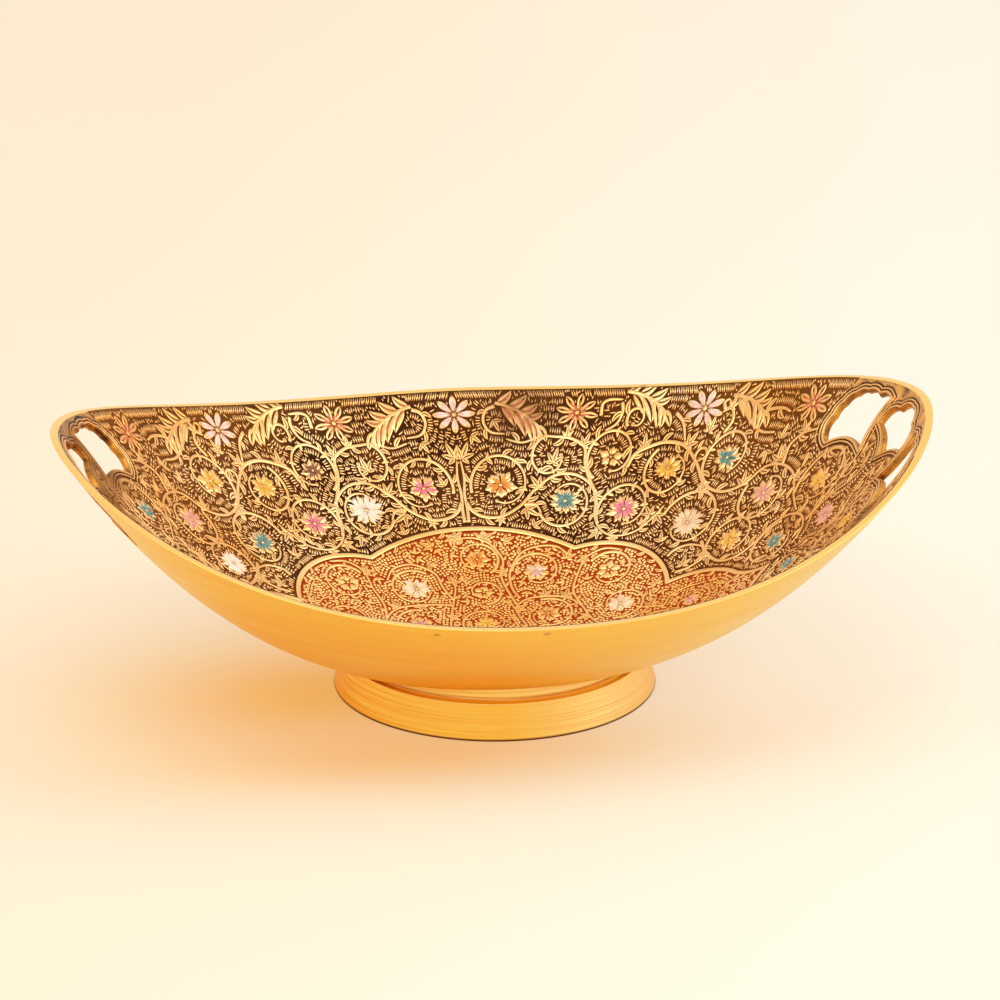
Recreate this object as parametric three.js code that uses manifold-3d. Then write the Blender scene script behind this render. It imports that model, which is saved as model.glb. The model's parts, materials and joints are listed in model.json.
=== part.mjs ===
// A boat-shaped oval nut bowl in cast brass, on a turned foot ring.
// The inside is sunk and filled with black lacquer round a lobed red medallion,
// with coloured lacquer flowers under the rim, and each end is pierced by three
// lobed openings that make a handle. Millimetres, +Z up, +X along the bowl.
// The origin is the middle of the foot ring's underside.
import * as THREE from "three";
import { mergeVertices } from "three/addons/utils/BufferGeometryUtils.js";
import Module from "manifold-3d";

// Bowl casting
const halfLength = 150; // outer rim, along the bowl
const halfWidth = 121.5; // outer rim, across the bowl
const planPower = 1.87; // 2 is an ellipse, less is more pointed
const sideRimHeight = 66; // lip above the table, middle of the long sides
const endRimHeight = 96.3; // lip above the table, at the two ends
const sheerPower = 2.73; // how late the rim sweeps up towards the ends
const undersideHeight = 6.8; // lowest point of the casting above the table
const sideProfilePower = 2.03; // bulge of the wall across the bowl
const endProfilePower = 2.64; // bulge of the wall along the bowl
const floorThickness = 3;
const sideLipWidth = 3.2; // flat lip, at the long sides
const endLipWidth = 2.5; // flat lip, at the ends
const lipBevel = 0.6; // eased outer edge of the lip

// Foot ring
const footRadius = 55.6; // outside, on the table
const footTopRadius = 52.2; // outside, at the band's sharp top edge
const footBandHeight = 12.4;
const footWall = 3.2;
const footNeckRadius = 49.3;
const footTopEdge = 0.8; // flat on top of the band
const footGrooveDepth = 0.9; // turned groove between the band and the neck
const footBevel = 0.4;

// Pierced handles
const openingDrop = 11; // middle of each opening below the lip
const sideOpeningSpread = 30; // outer openings from the long axis, at the lip
const sideOpeningWidth = 25;
const middleOpeningWidth = 30.6;
const handleBorder = 2.3; // plain brass left round the openings
const handlePanelHalfWidth = 43; // plain brass panel that holds the openings
const handlePanelDrop = 18; // bottom of the panel below the end lip

// Lacquer fillings
const seatGap = 0.3; // clearance between a filling and its seat
const lacquerThickness = 0.8;
const fieldMargin = 0.5; // plain brass between the lip and the black field
const medallionTip = 95; // pointed end, from the bowl's middle
const medallionCrown = 70.5; // middle lobe, from the bowl's middle
const crownCuspAlong = 36.5; // where the middle lobe meets a quarter lobe
const crownCuspAcross = 55.8;
const endCuspAlong = 64.6; // where a quarter lobe meets the pointed end
const endCuspAcross = 24.6;
const ogeeTurnAlong = 86; // where the pointed end turns from full to hollow
const ogeeTurnAcross = 9.5;
const quarterLobeBulge = 10;
const ogeeBulge = 4.2;
const ogeeHollow = 0.9;
const medallionBorder = 2.2; // raised brass line round the medallion
const rimFlowerRadius = 7.4;
const rimFlowerHeart = 2.7; // where neighbouring petals meet
const rimFlowerMargin = 1.6; // black filling over a flower's petal tips
const endFlowerGap = 14.5; // last flower's middle line from a handle panel, at the lip
const rimFlowersEachWay = 3; // on either side of the middle one
const petalCount = 8;

// Facets
const stepsAround = 60;
const ringsUp = 7;
const bellyRings = 4; // rings of the underside that the foot ring meets
const arcSteps = 4;
const pastFace = 12; // cutters run this far past a face
const slopeStep = 0.05;

const outerFace = { halfLength, halfWidth, lowest: undersideHeight };
const innerFace = {
  halfLength: halfLength - endLipWidth,
  halfWidth: halfWidth - sideLipWidth,
  lowest: undersideHeight + floorThickness,
};

const wasm = await Module();
wasm.setup();

// Share of the way from the bowl's middle to a face's rim, 1 on the rim.
function reachAt(face, x, y) {
  const along = Math.abs(x / face.halfLength) ** planPower;
  const across = Math.abs(y / face.halfWidth) ** planPower;
  return (along + across) ** (1 / planPower);
}

// Lip height where the rim has come this share of the half length.
function rimHeight(lengthShare) {
  const rise = endRimHeight - sideRimHeight;
  return sideRimHeight + rise * Math.abs(lengthShare) ** sheerPower;
}

// Power of the wall's profile, from the long sides' to the ends'.
function profilePower(lengthShare) {
  return sideProfilePower + (endProfilePower - sideProfilePower) * lengthShare ** 2;
}

// Height of a face over a point of the plan.
function heightAt(face, x, y) {
  const reach = reachAt(face, x, y);
  if (reach === 0) return face.lowest;
  const lengthShare = x / (face.halfLength * reach);
  const climb = rimHeight(lengthShare) - face.lowest;
  return face.lowest + climb * reach ** profilePower(lengthShare);
}

// Point of a face at an angle round the bowl and a share of the way to the rim.
function pointOn(face, angle, reach) {
  const stretch = (value) => Math.sign(value) * Math.abs(value) ** (2 / planPower);
  const x = face.halfLength * reach * stretch(Math.cos(angle));
  const y = face.halfWidth * reach * stretch(Math.sin(angle));
  return new THREE.Vector3(x, y, heightAt(face, x, y));
}

// Angle round the bowl where the inner lip is this far from the long axis.
function lipAngle(distance) {
  return Math.asin((distance / innerFace.halfWidth) ** (planPower / 2));
}

// Unit normal of a face on the side of the bowl's hollow.
function normalAt(face, { x, y }) {
  const along = heightAt(face, x + slopeStep, y) - heightAt(face, x - slopeStep, y);
  const across = heightAt(face, x, y + slopeStep) - heightAt(face, x, y - slopeStep);
  return new THREE.Vector3(-along, -across, 2 * slopeStep).normalize();
}

// One ring of points round the bowl, from a function of the angle.
function ringOf(pointAtAngle) {
  const turn = (2 * Math.PI) / stepsAround;
  return Array.from({ length: stepsAround }, (_, i) => pointAtAngle(i * turn));
}

// Rings of a face from the middle out to a reach, lifted off it into the hollow.
function faceRings(face, reachEnd, count, lift) {
  return Array.from({ length: count }, (_, i) =>
    ringOf((angle) => {
      const point = pointOn(face, angle, (reachEnd * (i + 1)) / count);
      return point.addScaledVector(normalAt(face, point), lift);
    }),
  );
}

// Closed surface through rings of points, from one point on the axis to another.
function ringsToGeometry(start, rings, end) {
  const positions = [start, ...rings.flat(), end].flatMap((point) => point.toArray());
  const last = positions.length / 3 - 1;
  const triangles = [];
  for (let i = 0; i < stepsAround; i++) {
    const next = (i + 1) % stepsAround;
    triangles.push(0, 1 + next, 1 + i);
    for (let ring = 0; ring < rings.length - 1; ring++) {
      const low = 1 + ring * stepsAround;
      const high = low + stepsAround;
      triangles.push(low + i, low + next, high + next);
      triangles.push(low + i, high + next, high + i);
    }
    const top = 1 + (rings.length - 1) * stepsAround;
    triangles.push(last, top + i, top + next);
  }
  const geometry = new THREE.BufferGeometry();
  geometry.setAttribute("position", new THREE.Float32BufferAttribute(positions, 3));
  geometry.setIndex(triangles);
  return geometry;
}

// Geometry to a solid that can be cut and joined.
function solidOf(geometry) {
  const bare = new THREE.BufferGeometry();
  bare.setAttribute("position", geometry.getAttribute("position"));
  bare.setIndex(geometry.index);
  const merged = mergeVertices(bare, 1e-4);
  return new wasm.Manifold(
    new wasm.Mesh({
      numProp: 3,
      vertProperties: new Float32Array(merged.getAttribute("position").array),
      triVerts: new Uint32Array(merged.index.array),
    }),
  );
}

// Solid to a named mesh.
function meshOf(name, solid, material) {
  const { vertProperties, triVerts } = solid.getMesh();
  const geometry = new THREE.BufferGeometry();
  geometry.setAttribute("position", new THREE.Float32BufferAttribute(vertProperties, 3));
  geometry.setIndex(new THREE.Uint32BufferAttribute(triVerts, 1));
  geometry.computeVertexNormals();
  const mesh = new THREE.Mesh(geometry, material);
  mesh.name = name;
  return mesh;
}

// Outline through corners [x, y, bulge] in anticlockwise order. Each side is an
// arc that stands out by its corner's bulge, or in when the bulge is negative.
function arcOutline(corners) {
  return corners.flatMap(([fromX, fromY, bulge], i) => {
    const [toX, toY] = corners[(i + 1) % corners.length];
    const chord = Math.hypot(toX - fromX, toY - fromY);
    const radius = (chord ** 2 / 4 + bulge ** 2) / (2 * bulge);
    const inset = (radius - bulge) / chord;
    const middleX = (fromX + toX) / 2 - inset * (toY - fromY);
    const middleY = (fromY + toY) / 2 + inset * (toX - fromX);
    const sweep = 2 * Math.asin(chord / 2 / radius);
    const startAngle = Math.atan2(fromY - middleY, fromX - middleX);
    return Array.from({ length: arcSteps }, (_, step) => {
      const angle = startAngle + (sweep * step) / arcSteps;
      const reach = Math.abs(radius);
      return new THREE.Vector2(
        middleX + reach * Math.cos(angle),
        middleY + reach * Math.sin(angle),
      );
    });
  });
}

// Outline moved outwards by a distance, with mitred corners.
function offsetOutline(points, distance) {
  const sideNormal = (from, to) => new THREE.Vector2(to.y - from.y, from.x - to.x).normalize();
  return points.map((point, i) => {
    const before = points[(i + points.length - 1) % points.length];
    const after = points[(i + 1) % points.length];
    const first = sideNormal(before, point);
    const second = sideNormal(point, after);
    const mitre = distance / (1 + first.dot(second));
    return point.clone().add(first.add(second).multiplyScalar(mitre));
  });
}

// Straight prism on an outline, between two heights.
function prism(outline, from, to) {
  const shape = new THREE.Shape(outline);
  const options = { depth: to - from, bevelEnabled: false };
  return new THREE.ExtrudeGeometry(shape, options).translate(0, 0, from);
}

// Prism square to a face at a point, its outline's y axis up the wall.
function prismAcross(outline, point, normal) {
  const level = new THREE.Vector3(0, 0, 1).cross(normal).normalize();
  const upWall = normal.clone().cross(level);
  const placement = new THREE.Matrix4().makeBasis(level, upWall, normal).setPosition(point);
  return solidOf(prism(outline, -pastFace, pastFace).applyMatrix4(placement));
}

// The casting before it is sunk and pierced, with a flat lip.
function bowlBlank() {
  const outerRings = faceRings(outerFace, 1, ringsUp, 0);
  const innerRings = faceRings(innerFace, 1, ringsUp, 0).reverse();
  const rim = outerRings.pop();
  const bevelLow = rim.map(({ x, y, z }) => new THREE.Vector3(x, y, z - lipBevel));
  const bevelHigh = rim.map(({ x, y, z }) => {
    const inwards = 1 - lipBevel / Math.hypot(x, y);
    return new THREE.Vector3(x * inwards, y * inwards, z);
  });
  const rings = [...outerRings, bevelLow, bevelHigh, ...innerRings];
  const underside = new THREE.Vector3(0, 0, outerFace.lowest);
  const floor = new THREE.Vector3(0, 0, innerFace.lowest);
  return solidOf(ringsToGeometry(underside, rings, floor));
}

// Layer along the inner face between two lifts, a margin short of the lip.
function innerLayer(lowLift, highLift, margin) {
  const reachEnd = 1 - margin / innerFace.halfWidth;
  const low = faceRings(innerFace, reachEnd, ringsUp, lowLift);
  const high = faceRings(innerFace, reachEnd, ringsUp, highLift).reverse();
  const onAxis = (lift) => new THREE.Vector3(0, 0, innerFace.lowest + lift);
  return solidOf(ringsToGeometry(onAxis(lowLift), [...low, ...high], onAxis(highLift)));
}

// Medallion's outline: a wide lobe across the middle, a round one at each
// quarter and an ogee that runs out to a point at each end.
function medallionOutline() {
  const crownBulge = medallionCrown - crownCuspAcross;
  const half = (side) => [
    [side * medallionTip, 0, -ogeeHollow],
    [side * ogeeTurnAlong, side * ogeeTurnAcross, ogeeBulge],
    [side * endCuspAlong, side * endCuspAcross, quarterLobeBulge],
    [side * crownCuspAlong, side * crownCuspAcross, crownBulge],
    [-side * crownCuspAlong, side * crownCuspAcross, quarterLobeBulge],
    [-side * endCuspAlong, side * endCuspAcross, ogeeBulge],
    [-side * ogeeTurnAlong, side * ogeeTurnAcross, -ogeeHollow],
  ];
  return arcOutline([...half(1), ...half(-1)]);
}

// Upright solid over the medallion, grown or shrunk from its border's middle line.
function medallionPrism(growth) {
  return solidOf(prism(offsetOutline(medallionOutline(), growth), 0, endRimHeight));
}

// Outline through corners given as shares of its width.
function openingOutline(width, corners) {
  return arcOutline(corners.map((corner) => corner.map((share) => share * width)));
}

// Outer opening of a handle, x away from the bowl's long axis and y up the wall:
// a petal rises from its foot, the rib curves in beside it, and lobes close it.
function sideOpening() {
  return openingOutline(sideOpeningWidth, [
    [-0.48, -0.48, -0.152],
    [0.32, -0.64, 0.104],
    [0.52, -0.26, 0.032],
    [0.488, -0.04, 0.036],
    [0.36, 0.16, 0.036],
    [0.16, 0.28, 0.044],
    [-0.14, 0.32, 0.044],
    [-0.44, 0.36, -0.08],
  ]);
}

// Middle opening of a handle: a leaf between two ribs, pointed at its foot.
function middleOpening() {
  return openingOutline(middleOpeningWidth, [
    [0, -0.376, -0.052],
    [0.5, -0.144, 0.085],
    [0.284, 0.137, 0.049],
    [0, 0.268, 0.049],
    [-0.284, 0.137, 0.085],
    [-0.5, -0.144, -0.052],
  ]);
}

// Cutter for an opening that crosses the lip's line at an angle round the bowl.
function openingCutter(outline, angle, growth) {
  const lip = pointOn(innerFace, angle, 1);
  const lengthShare = lip.x / innerFace.halfLength;
  const climbShare = 1 - openingDrop / (lip.z - innerFace.lowest);
  const middle = pointOn(innerFace, angle, climbShare ** (1 / profilePower(lengthShare)));
  const outwards = normalAt(innerFace, middle).negate();
  const halfSize = Math.max(...outline.map((point) => point.x));
  const scaled = outline.map((point) => point.clone().multiplyScalar(1 + growth / halfSize));
  return prismAcross(scaled, middle, outwards);
}

// The three openings of both handles as one cutter.
function handleCutter(growth) {
  const spreadAngle = lipAngle(sideOpeningSpread);
  const mirrored = sideOpening()
    .map((point) => new THREE.Vector2(-point.x, point.y))
    .reverse();
  const cutters = [0, Math.PI].flatMap((end) => [
    openingCutter(middleOpening(), end, growth),
    openingCutter(sideOpening(), end + spreadAngle, growth),
    openingCutter(mirrored, end - spreadAngle, growth),
  ]);
  return cutters.reduce((all, cutter) => all.add(cutter));
}

// Plain brass panels that the fields leave round the openings.
function handlePanels(growth) {
  const bottom = endRimHeight - handlePanelDrop - growth;
  const width = 2 * (handlePanelHalfWidth + growth);
  const height = handlePanelDrop + pastFace;
  const box = new THREE.BoxGeometry(3 * halfLength, width, height);
  return solidOf(box.translate(0, 0, bottom + height / 2)).add(
    handleCutter(handleBorder + growth),
  );
}

// Angles round the bowl of the flowers under the rim, both long sides.
function rimFlowerAngles() {
  const spread = Math.PI / 2 - lipAngle(handlePanelHalfWidth + endFlowerGap);
  const steps = Array.from(
    { length: 2 * rimFlowersEachWay + 1 },
    (_, i) => spread * (i / rimFlowersEachWay - 1),
  );
  return [Math.PI / 2, -Math.PI / 2].flatMap((side) => steps.map((step) => side + step));
}

// Middle of a flower, so far down the wall that its petals stay in the field.
function rimFlowerMiddle(angle) {
  const edgeReach = 1 - (fieldMargin + seatGap) / innerFace.halfWidth;
  const edge = pointOn(innerFace, angle, edgeReach);
  const beside = pointOn(innerFace, angle + slopeStep, edgeReach);
  const downWall = normalAt(innerFace, edge).cross(beside.sub(edge)).normalize();
  const { x, y } = edge.addScaledVector(
    downWall,
    rimFlowerRadius + seatGap + rimFlowerMargin,
  );
  return new THREE.Vector3(x, y, heightAt(innerFace, x, y));
}

// Flower with pointed petals, square to the wall at an angle round the bowl.
// A growth opens the notches between the petals twice as far as it moves the tips.
function rimFlowerPrism(angle, growth) {
  const outline = Array.from({ length: 2 * petalCount }, (_, i) => {
    const reach = i % 2 === 0 ? rimFlowerRadius + growth : rimFlowerHeart + 2 * growth;
    const turn = (i * Math.PI) / petalCount;
    return new THREE.Vector2(reach * Math.cos(turn), reach * Math.sin(turn));
  });
  const middle = rimFlowerMiddle(angle);
  return prismAcross(outline, middle, normalAt(innerFace, middle));
}

// Everything that is not black field, grown by the gap a filling keeps.
function blackFieldLimits(growth) {
  return medallionPrism(medallionBorder / 2 + growth).add(handlePanels(growth));
}

// Cast bowl with its sunk fields and pierced handles.
function bowlShell() {
  const sunk = lacquerThickness + seatGap;
  const blackSeat = innerLayer(-sunk, pastFace / 4, fieldMargin).subtract(blackFieldLimits(0));
  const redSeat = innerLayer(-sunk, pastFace / 4, fieldMargin).intersect(
    medallionPrism(-medallionBorder / 2),
  );
  return bowlBlank().subtract(blackSeat).subtract(redSeat).subtract(handleCutter(0));
}

// Black filling of the wall, open where the flowers sit.
function blackField() {
  const layer = innerLayer(-lacquerThickness, 0, fieldMargin + seatGap);
  return rimFlowerAngles().reduce(
    (field, angle) => field.subtract(rimFlowerPrism(angle, seatGap)),
    layer.subtract(blackFieldLimits(seatGap)),
  );
}

// Red filling of the medallion.
function redMedallion() {
  const layer = innerLayer(-lacquerThickness, 0, fieldMargin);
  return layer.intersect(medallionPrism(-medallionBorder / 2 - seatGap));
}

// Coloured filling of one flower.
function rimFlower(angle) {
  return innerLayer(-lacquerThickness, 0, fieldMargin).intersect(rimFlowerPrism(angle, 0));
}

// Turned foot ring: a flared band with a sharp top edge, a groove and a neck
// that is shaped to the underside of the bowl.
function footRing() {
  const neckTop = heightAt(outerFace, 0, footNeckRadius) + seatGap;
  const neckInside = footNeckRadius - footWall;
  const grooveRadius = (footNeckRadius + footTopRadius - footTopEdge) / 2;
  const profile = [
    [footRadius - footBevel, 0],
    [footRadius, footBevel],
    [footTopRadius, footBandHeight],
    [footTopRadius - footTopEdge, footBandHeight],
    [grooveRadius, footBandHeight - footGrooveDepth],
    [footNeckRadius, footBandHeight],
    [footNeckRadius, neckTop],
    [neckInside, neckTop],
    [neckInside, footBandHeight],
    [footRadius - footWall, footBevel],
    [footRadius - footWall + footBevel, 0],
  ];
  const closed = [...profile, profile[0]].map(([radius, height]) => new THREE.Vector2(radius, height));
  const turned = new THREE.LatheGeometry(closed, stepsAround).rotateX(Math.PI / 2);
  const bellyRingList = faceRings(outerFace, bellyRings / ringsUp, bellyRings, -seatGap);
  const belly = ringsToGeometry(
    new THREE.Vector3(0, 0, outerFace.lowest - seatGap),
    bellyRingList,
    new THREE.Vector3(0, 0, endRimHeight),
  );
  return solidOf(turned).subtract(solidOf(belly));
}

const castBrass = new THREE.MeshStandardMaterial({
  color: 0xf3c464,
  roughness: 0.28,
  metalness: 1,
});
const turnedBrass = new THREE.MeshStandardMaterial({
  color: 0xf5ca6e,
  roughness: 0.35,
  metalness: 1,
});
const lacquer = (color) =>
  new THREE.MeshStandardMaterial({ color, roughness: 0.3, metalness: 0 });
const blackLacquer = lacquer(0x2b1a14);
const redLacquer = lacquer(0xc4452a);
const flowerRed = lacquer(0xd0523a);
const flowerBlush = lacquer(0xf0c4b8);

const bowl = new THREE.Group();
bowl.add(meshOf("bowl_shell", bowlShell(), castBrass));
bowl.add(meshOf("foot_ring", footRing(), turnedBrass));
bowl.add(meshOf("black_lacquer_field", blackField(), blackLacquer));
bowl.add(meshOf("red_lacquer_medallion", redMedallion(), redLacquer));
rimFlowerAngles().forEach((angle, i) => {
  const stepFromMiddle = (i % (2 * rimFlowersEachWay + 1)) - rimFlowersEachWay;
  const material = stepFromMiddle % 2 === 0 ? flowerBlush : flowerRed;
  const number = String(i + 1).padStart(2, "0");
  bowl.add(meshOf(`rim_flower_${number}`, rimFlower(angle), material));
});

export default bowl;
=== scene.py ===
# An oval brass nut bowl on a foot ring, engraved inside and filled with lacquer.
# Sizes are millimetres until a mesh is made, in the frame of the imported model:
# +X along the bowl, +Z up, the origin under the middle of the foot ring.
# The ornament is drawn in plan and lifted off the bowl's inner face.
import json
import math

import bpy
import numpy as np
from mathutils import Matrix, Vector

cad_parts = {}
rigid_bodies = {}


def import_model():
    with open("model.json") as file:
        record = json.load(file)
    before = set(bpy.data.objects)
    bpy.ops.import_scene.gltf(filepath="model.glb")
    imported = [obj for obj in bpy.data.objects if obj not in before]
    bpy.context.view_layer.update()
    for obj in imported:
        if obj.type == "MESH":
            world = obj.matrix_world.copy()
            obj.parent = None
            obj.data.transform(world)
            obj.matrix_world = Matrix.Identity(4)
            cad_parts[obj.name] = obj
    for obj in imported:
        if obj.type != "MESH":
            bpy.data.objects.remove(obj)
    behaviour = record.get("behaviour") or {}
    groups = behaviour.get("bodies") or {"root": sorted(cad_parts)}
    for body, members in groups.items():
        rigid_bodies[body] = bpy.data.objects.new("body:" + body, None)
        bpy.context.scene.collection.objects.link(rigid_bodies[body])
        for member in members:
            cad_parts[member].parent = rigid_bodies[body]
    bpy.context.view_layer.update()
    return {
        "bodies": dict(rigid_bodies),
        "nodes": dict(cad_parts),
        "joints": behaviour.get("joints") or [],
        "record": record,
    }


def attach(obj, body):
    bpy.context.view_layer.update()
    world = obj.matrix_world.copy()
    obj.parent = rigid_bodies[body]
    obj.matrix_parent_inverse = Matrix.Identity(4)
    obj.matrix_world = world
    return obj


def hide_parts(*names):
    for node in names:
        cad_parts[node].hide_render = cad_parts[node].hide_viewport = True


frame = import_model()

random = np.random.default_rng(7)
MM = 0.001

# Bowl, as half length, half width and lowest point of each face
OUTER = (150.0, 121.5, 6.8)
INNER = (147.5, 118.3, 9.8)
PLAN_POWER = 1.87
SIDE_RIM, END_RIM, SHEER = 66.0, 96.3, 2.73
SIDE_POWER, END_POWER = 2.03, 2.64
FIELD_MARGIN = 0.5
SKIN_MARGIN = 0.15
ENDS = {"right": 1, "left": -1}

# Handle openings, and the bare panel round them: half its width and its lowest height
OPENING_DROP = 11.0
OPENING_SPREAD = 30.0
RIM_OF_OPENING = 2.5
CUT_REACH = 14.0
PANEL = (42.0, 86.5)

# Foot ring, as radius and height round its section: outside, top groove, neck and hollow
FOOT_OUTSIDE = [(55.2, 0), (55.5, 0.12), (55.6, 0.4), (55.46, 0.95), (55.2, 1.9), (54.5, 4.3), (53.4, 8.2)]
FOOT_EDGE = [(52.35, 11.9), (52.28, 12.3), (52.1, 12.4)]
FOOT_GROOVE = [(51.5, 12.4), (51.3, 12.2), (50.9, 11.8), (50.4, 11.7), (49.8, 11.9), (49.4, 12.3)]
FOOT_NECK = [(49.3, 13), (49.3, 18), (46.1, 18)]
FOOT_HOLLOW = [(46.1, 12.4), (48.2, 8.4), (50.4, 4.2), (52.3, 0.5), (52.5, 0.12), (52.8, 0)]

# Wear and a painted highlight, in metres: browned patches inside with their reach, the middle of a painted
# highlight on the foot, dark marks outside
STAINS = [((0.024, 0.106, 0.062), 0.019), ((-0.136, 0.012, 0.076), 0.026), ((0.122, -0.044, 0.066), 0.018)]
FOOT_HIGHLIGHT = (0.04, -0.038, 0.006)
OUTER_MARKS = [(-0.0341, -0.1137, 0.063), (0.0002, -0.119, 0.0636)]

# Relief: its height, the share of a bar's width that is its top, lacquer over the face and skins under it
RELIEF = 0.22
SHOULDER = 0.66
SKIN = 0.06
UNDER = -0.05
BORDER = 2.2

# Flower at each end: middle, radius, petals
END_FLOWER = (115.0, 0.0, 5.4, 8)

# Paint on a petal, in two thin streaks or full: how streaks lean, their lengths, width and skew
STREAKS = ((-0.34, 0.34), (0.35, 0.75), 0.2, 0.8)
FULL_STREAKS = ((-0.46, 0.46, 0.0), (0.6, 0.92), 0.3, 1.2)
FULL_COLORS = ("cream", "white")


# Surfaces of the bowl


def reach_of(face, x, y):
    """Share of the way to a face's rim: the PLAN_POWER norm of x and y over its half sizes."""
    along = np.abs(x / face[0]) ** PLAN_POWER
    across = np.abs(y / face[1]) ** PLAN_POWER
    return (along + across) ** (1 / PLAN_POWER)


def height_of(face, x, y):
    """Height of a face: its lowest point plus the climb to the rim over that way, times reach to a power."""
    reach = np.maximum(reach_of(face, x, y), 1e-9)
    share = np.clip(x / (face[0] * reach), -1, 1)
    lip = SIDE_RIM + (END_RIM - SIDE_RIM) * np.abs(share) ** SHEER
    power = SIDE_POWER + (END_POWER - SIDE_POWER) * share**2
    return face[2] + (lip - face[2]) * reach**power


def normal_of(face, x, y):
    """Unit normal into the hollow, from the slopes between points 0.1 mm apart."""
    step = 0.05
    along = height_of(face, x + step, y) - height_of(face, x - step, y)
    across = height_of(face, x, y + step) - height_of(face, x, y - step)
    normal = np.stack([-along, -across, np.full_like(along, 2 * step)], -1)
    return normal / np.linalg.norm(normal, axis=-1, keepdims=True)


def on_face(face, x, y, lift):
    """Point of a face over x, y, moved along the normal by a lift."""
    x, y, lift = np.broadcast_arrays(np.asarray(x, float), y, lift)
    base = np.stack([x, y, height_of(face, x, y)], -1)
    return base + normal_of(face, x, y) * lift[..., None]


def rim_plan(face, angle, reach):
    """Plan point at an angle parameter: a superellipse of PLAN_POWER, scaled by reach."""
    c, s = np.cos(angle), np.sin(angle)
    x = face[0] * reach * np.sign(c) * np.abs(c) ** (2 / PLAN_POWER)
    y = face[1] * reach * np.sign(s) * np.abs(s) ** (2 / PLAN_POWER)
    return x, y


def lip_quarter(inset, count):
    """Plan path a distance inside the inner lip, from an end to the middle of a side."""
    angle = np.linspace(0.0, math.pi / 2, count)
    return np.stack(rim_plan(INNER, angle, 1 - inset / INNER[1]), -1)


def lip_angle(distance):
    """Angle parameter where the inner lip is a distance from the long axis."""
    return math.asin((distance / INNER[1]) ** (PLAN_POWER / 2))


# Outlines on the bowl


def direction(angle):
    """Unit vectors at angles in radians."""
    return np.stack([np.cos(angle), np.sin(angle)], -1)


def arc_outline(corners, steps):
    """Closed outline of arcs: each side of the polygon stands out by its corner's bulge."""
    corners = np.asarray(corners, float)
    start, bulge = corners[:, :2], corners[:, 2:]
    end = np.roll(start, -1, axis=0)
    chord = np.linalg.norm(end - start, axis=1, keepdims=True)
    radius = (chord**2 / 4 + bulge**2) / (2 * bulge)
    side = np.stack([-(end - start)[:, 1], (end - start)[:, 0]], -1)
    middle = (start + end) / 2 + (radius - bulge) / chord * side
    sweep = 2 * np.arcsin(chord / 2 / radius)
    from_middle = start - middle
    first = np.arctan2(from_middle[:, 1:], from_middle[:, :1])
    angle = first + sweep * np.arange(steps) / steps
    points = middle[:, None] + np.abs(radius)[..., None] * direction(angle)
    return points.reshape(-1, 2)


def grow(outline, distance):
    """Closed anticlockwise outline moved outwards by a distance, with mitred corners."""

    def sides(a, b):
        d = b - a
        return np.stack([d[:, 1], -d[:, 0]], -1) / np.linalg.norm(d, axis=1, keepdims=True)

    first = sides(np.roll(outline, 1, axis=0), outline)
    second = sides(outline, np.roll(outline, -1, axis=0))
    scale = distance / np.maximum(1 + (first * second).sum(1, keepdims=True), 0.45)
    return outline + (first + second) * scale


def medallion_outline():
    """Lobed outline of the medallion: arcs between cusps, a half and the same half turned round."""
    corners = [(95, 0, -0.9), (86, 9.5, 4.2), (64.6, 24.6, 10), (36.5, 55.8, 14.7)]
    corners += [(-36.5, 55.8, 10), (-64.6, 24.6, 4.2), (-86, 9.5, -0.9)]
    half = np.array(corners)
    return arc_outline(np.vstack([half, half * (-1, -1, 1)]), steps=24)


def side_opening():
    """Outer opening of a handle: x away from the long axis, y up the wall."""
    corners = [(-12, -12, -3.8), (8, -16, 2.6), (13, -6.5, 0.8), (12.2, -1, 0.9)]
    corners += [(9, 4, 0.9), (4, 7, 1.1), (-3.5, 8, 1.1), (-11, 9, -2)]
    return arc_outline(corners, steps=10)


def middle_opening():
    """Middle opening of a handle: a leaf between two ribs, pointed at its foot."""
    corners = [(0, -11.5, -1.6), (15.3, -4.4, 2.6), (8.7, 4.2, 1.5)]
    corners += [(0, 8.2, 1.5), (-8.7, 4.2, 2.6), (-15.3, -4.4, -1.6)]
    return arc_outline(corners, steps=10)


def opening_frame(angle):
    """Middle point of an opening on the inner face, with its level, up-wall and outward directions."""
    lip = np.array(rim_plan(INNER, angle, 1.0))
    lip_height = height_of(INNER, *lip)
    share = lip[0] / INNER[0]
    power = SIDE_POWER + (END_POWER - SIDE_POWER) * share**2
    reach = (1 - OPENING_DROP / (lip_height - INNER[2])) ** (1 / power)
    x, y = rim_plan(INNER, angle, reach)
    outwards = -normal_of(INNER, x, y)
    level = np.cross([0, 0, 1], outwards)
    level /= np.linalg.norm(level)
    return np.array([x, y, height_of(INNER, x, y)]), level, np.cross(outwards, level), outwards


def openings(end):
    """Outline and frame of the three openings at one end, the middle one first."""
    spread = lip_angle(OPENING_SPREAD)
    mirrored = side_opening() * (-1, 1)
    start = 0.0 if end > 0 else math.pi
    return [
        (middle_opening(), opening_frame(start)),
        (side_opening(), opening_frame(start + spread)),
        (mirrored[::-1], opening_frame(start - spread)),
    ]


def opening_on_face(outline, frame_of, face):
    """Points where an opening's straight cut meets a face, by halving between 12 mm in and out."""
    middle, level, up, outwards = frame_of
    flat = middle + outline[:, :1] * level + outline[:, 1:] * up
    near, far = np.full(len(flat), -12.0), np.full(len(flat), 12.0)
    for _ in range(30):
        at = (near + far) / 2
        point = flat + at[:, None] * outwards
        above = point[:, 2] > height_of(face, point[:, 0], point[:, 1])
        near, far = np.where(above, at, near), np.where(above, far, at)
    return flat + at[:, None] * outwards


# Drawing


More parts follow.
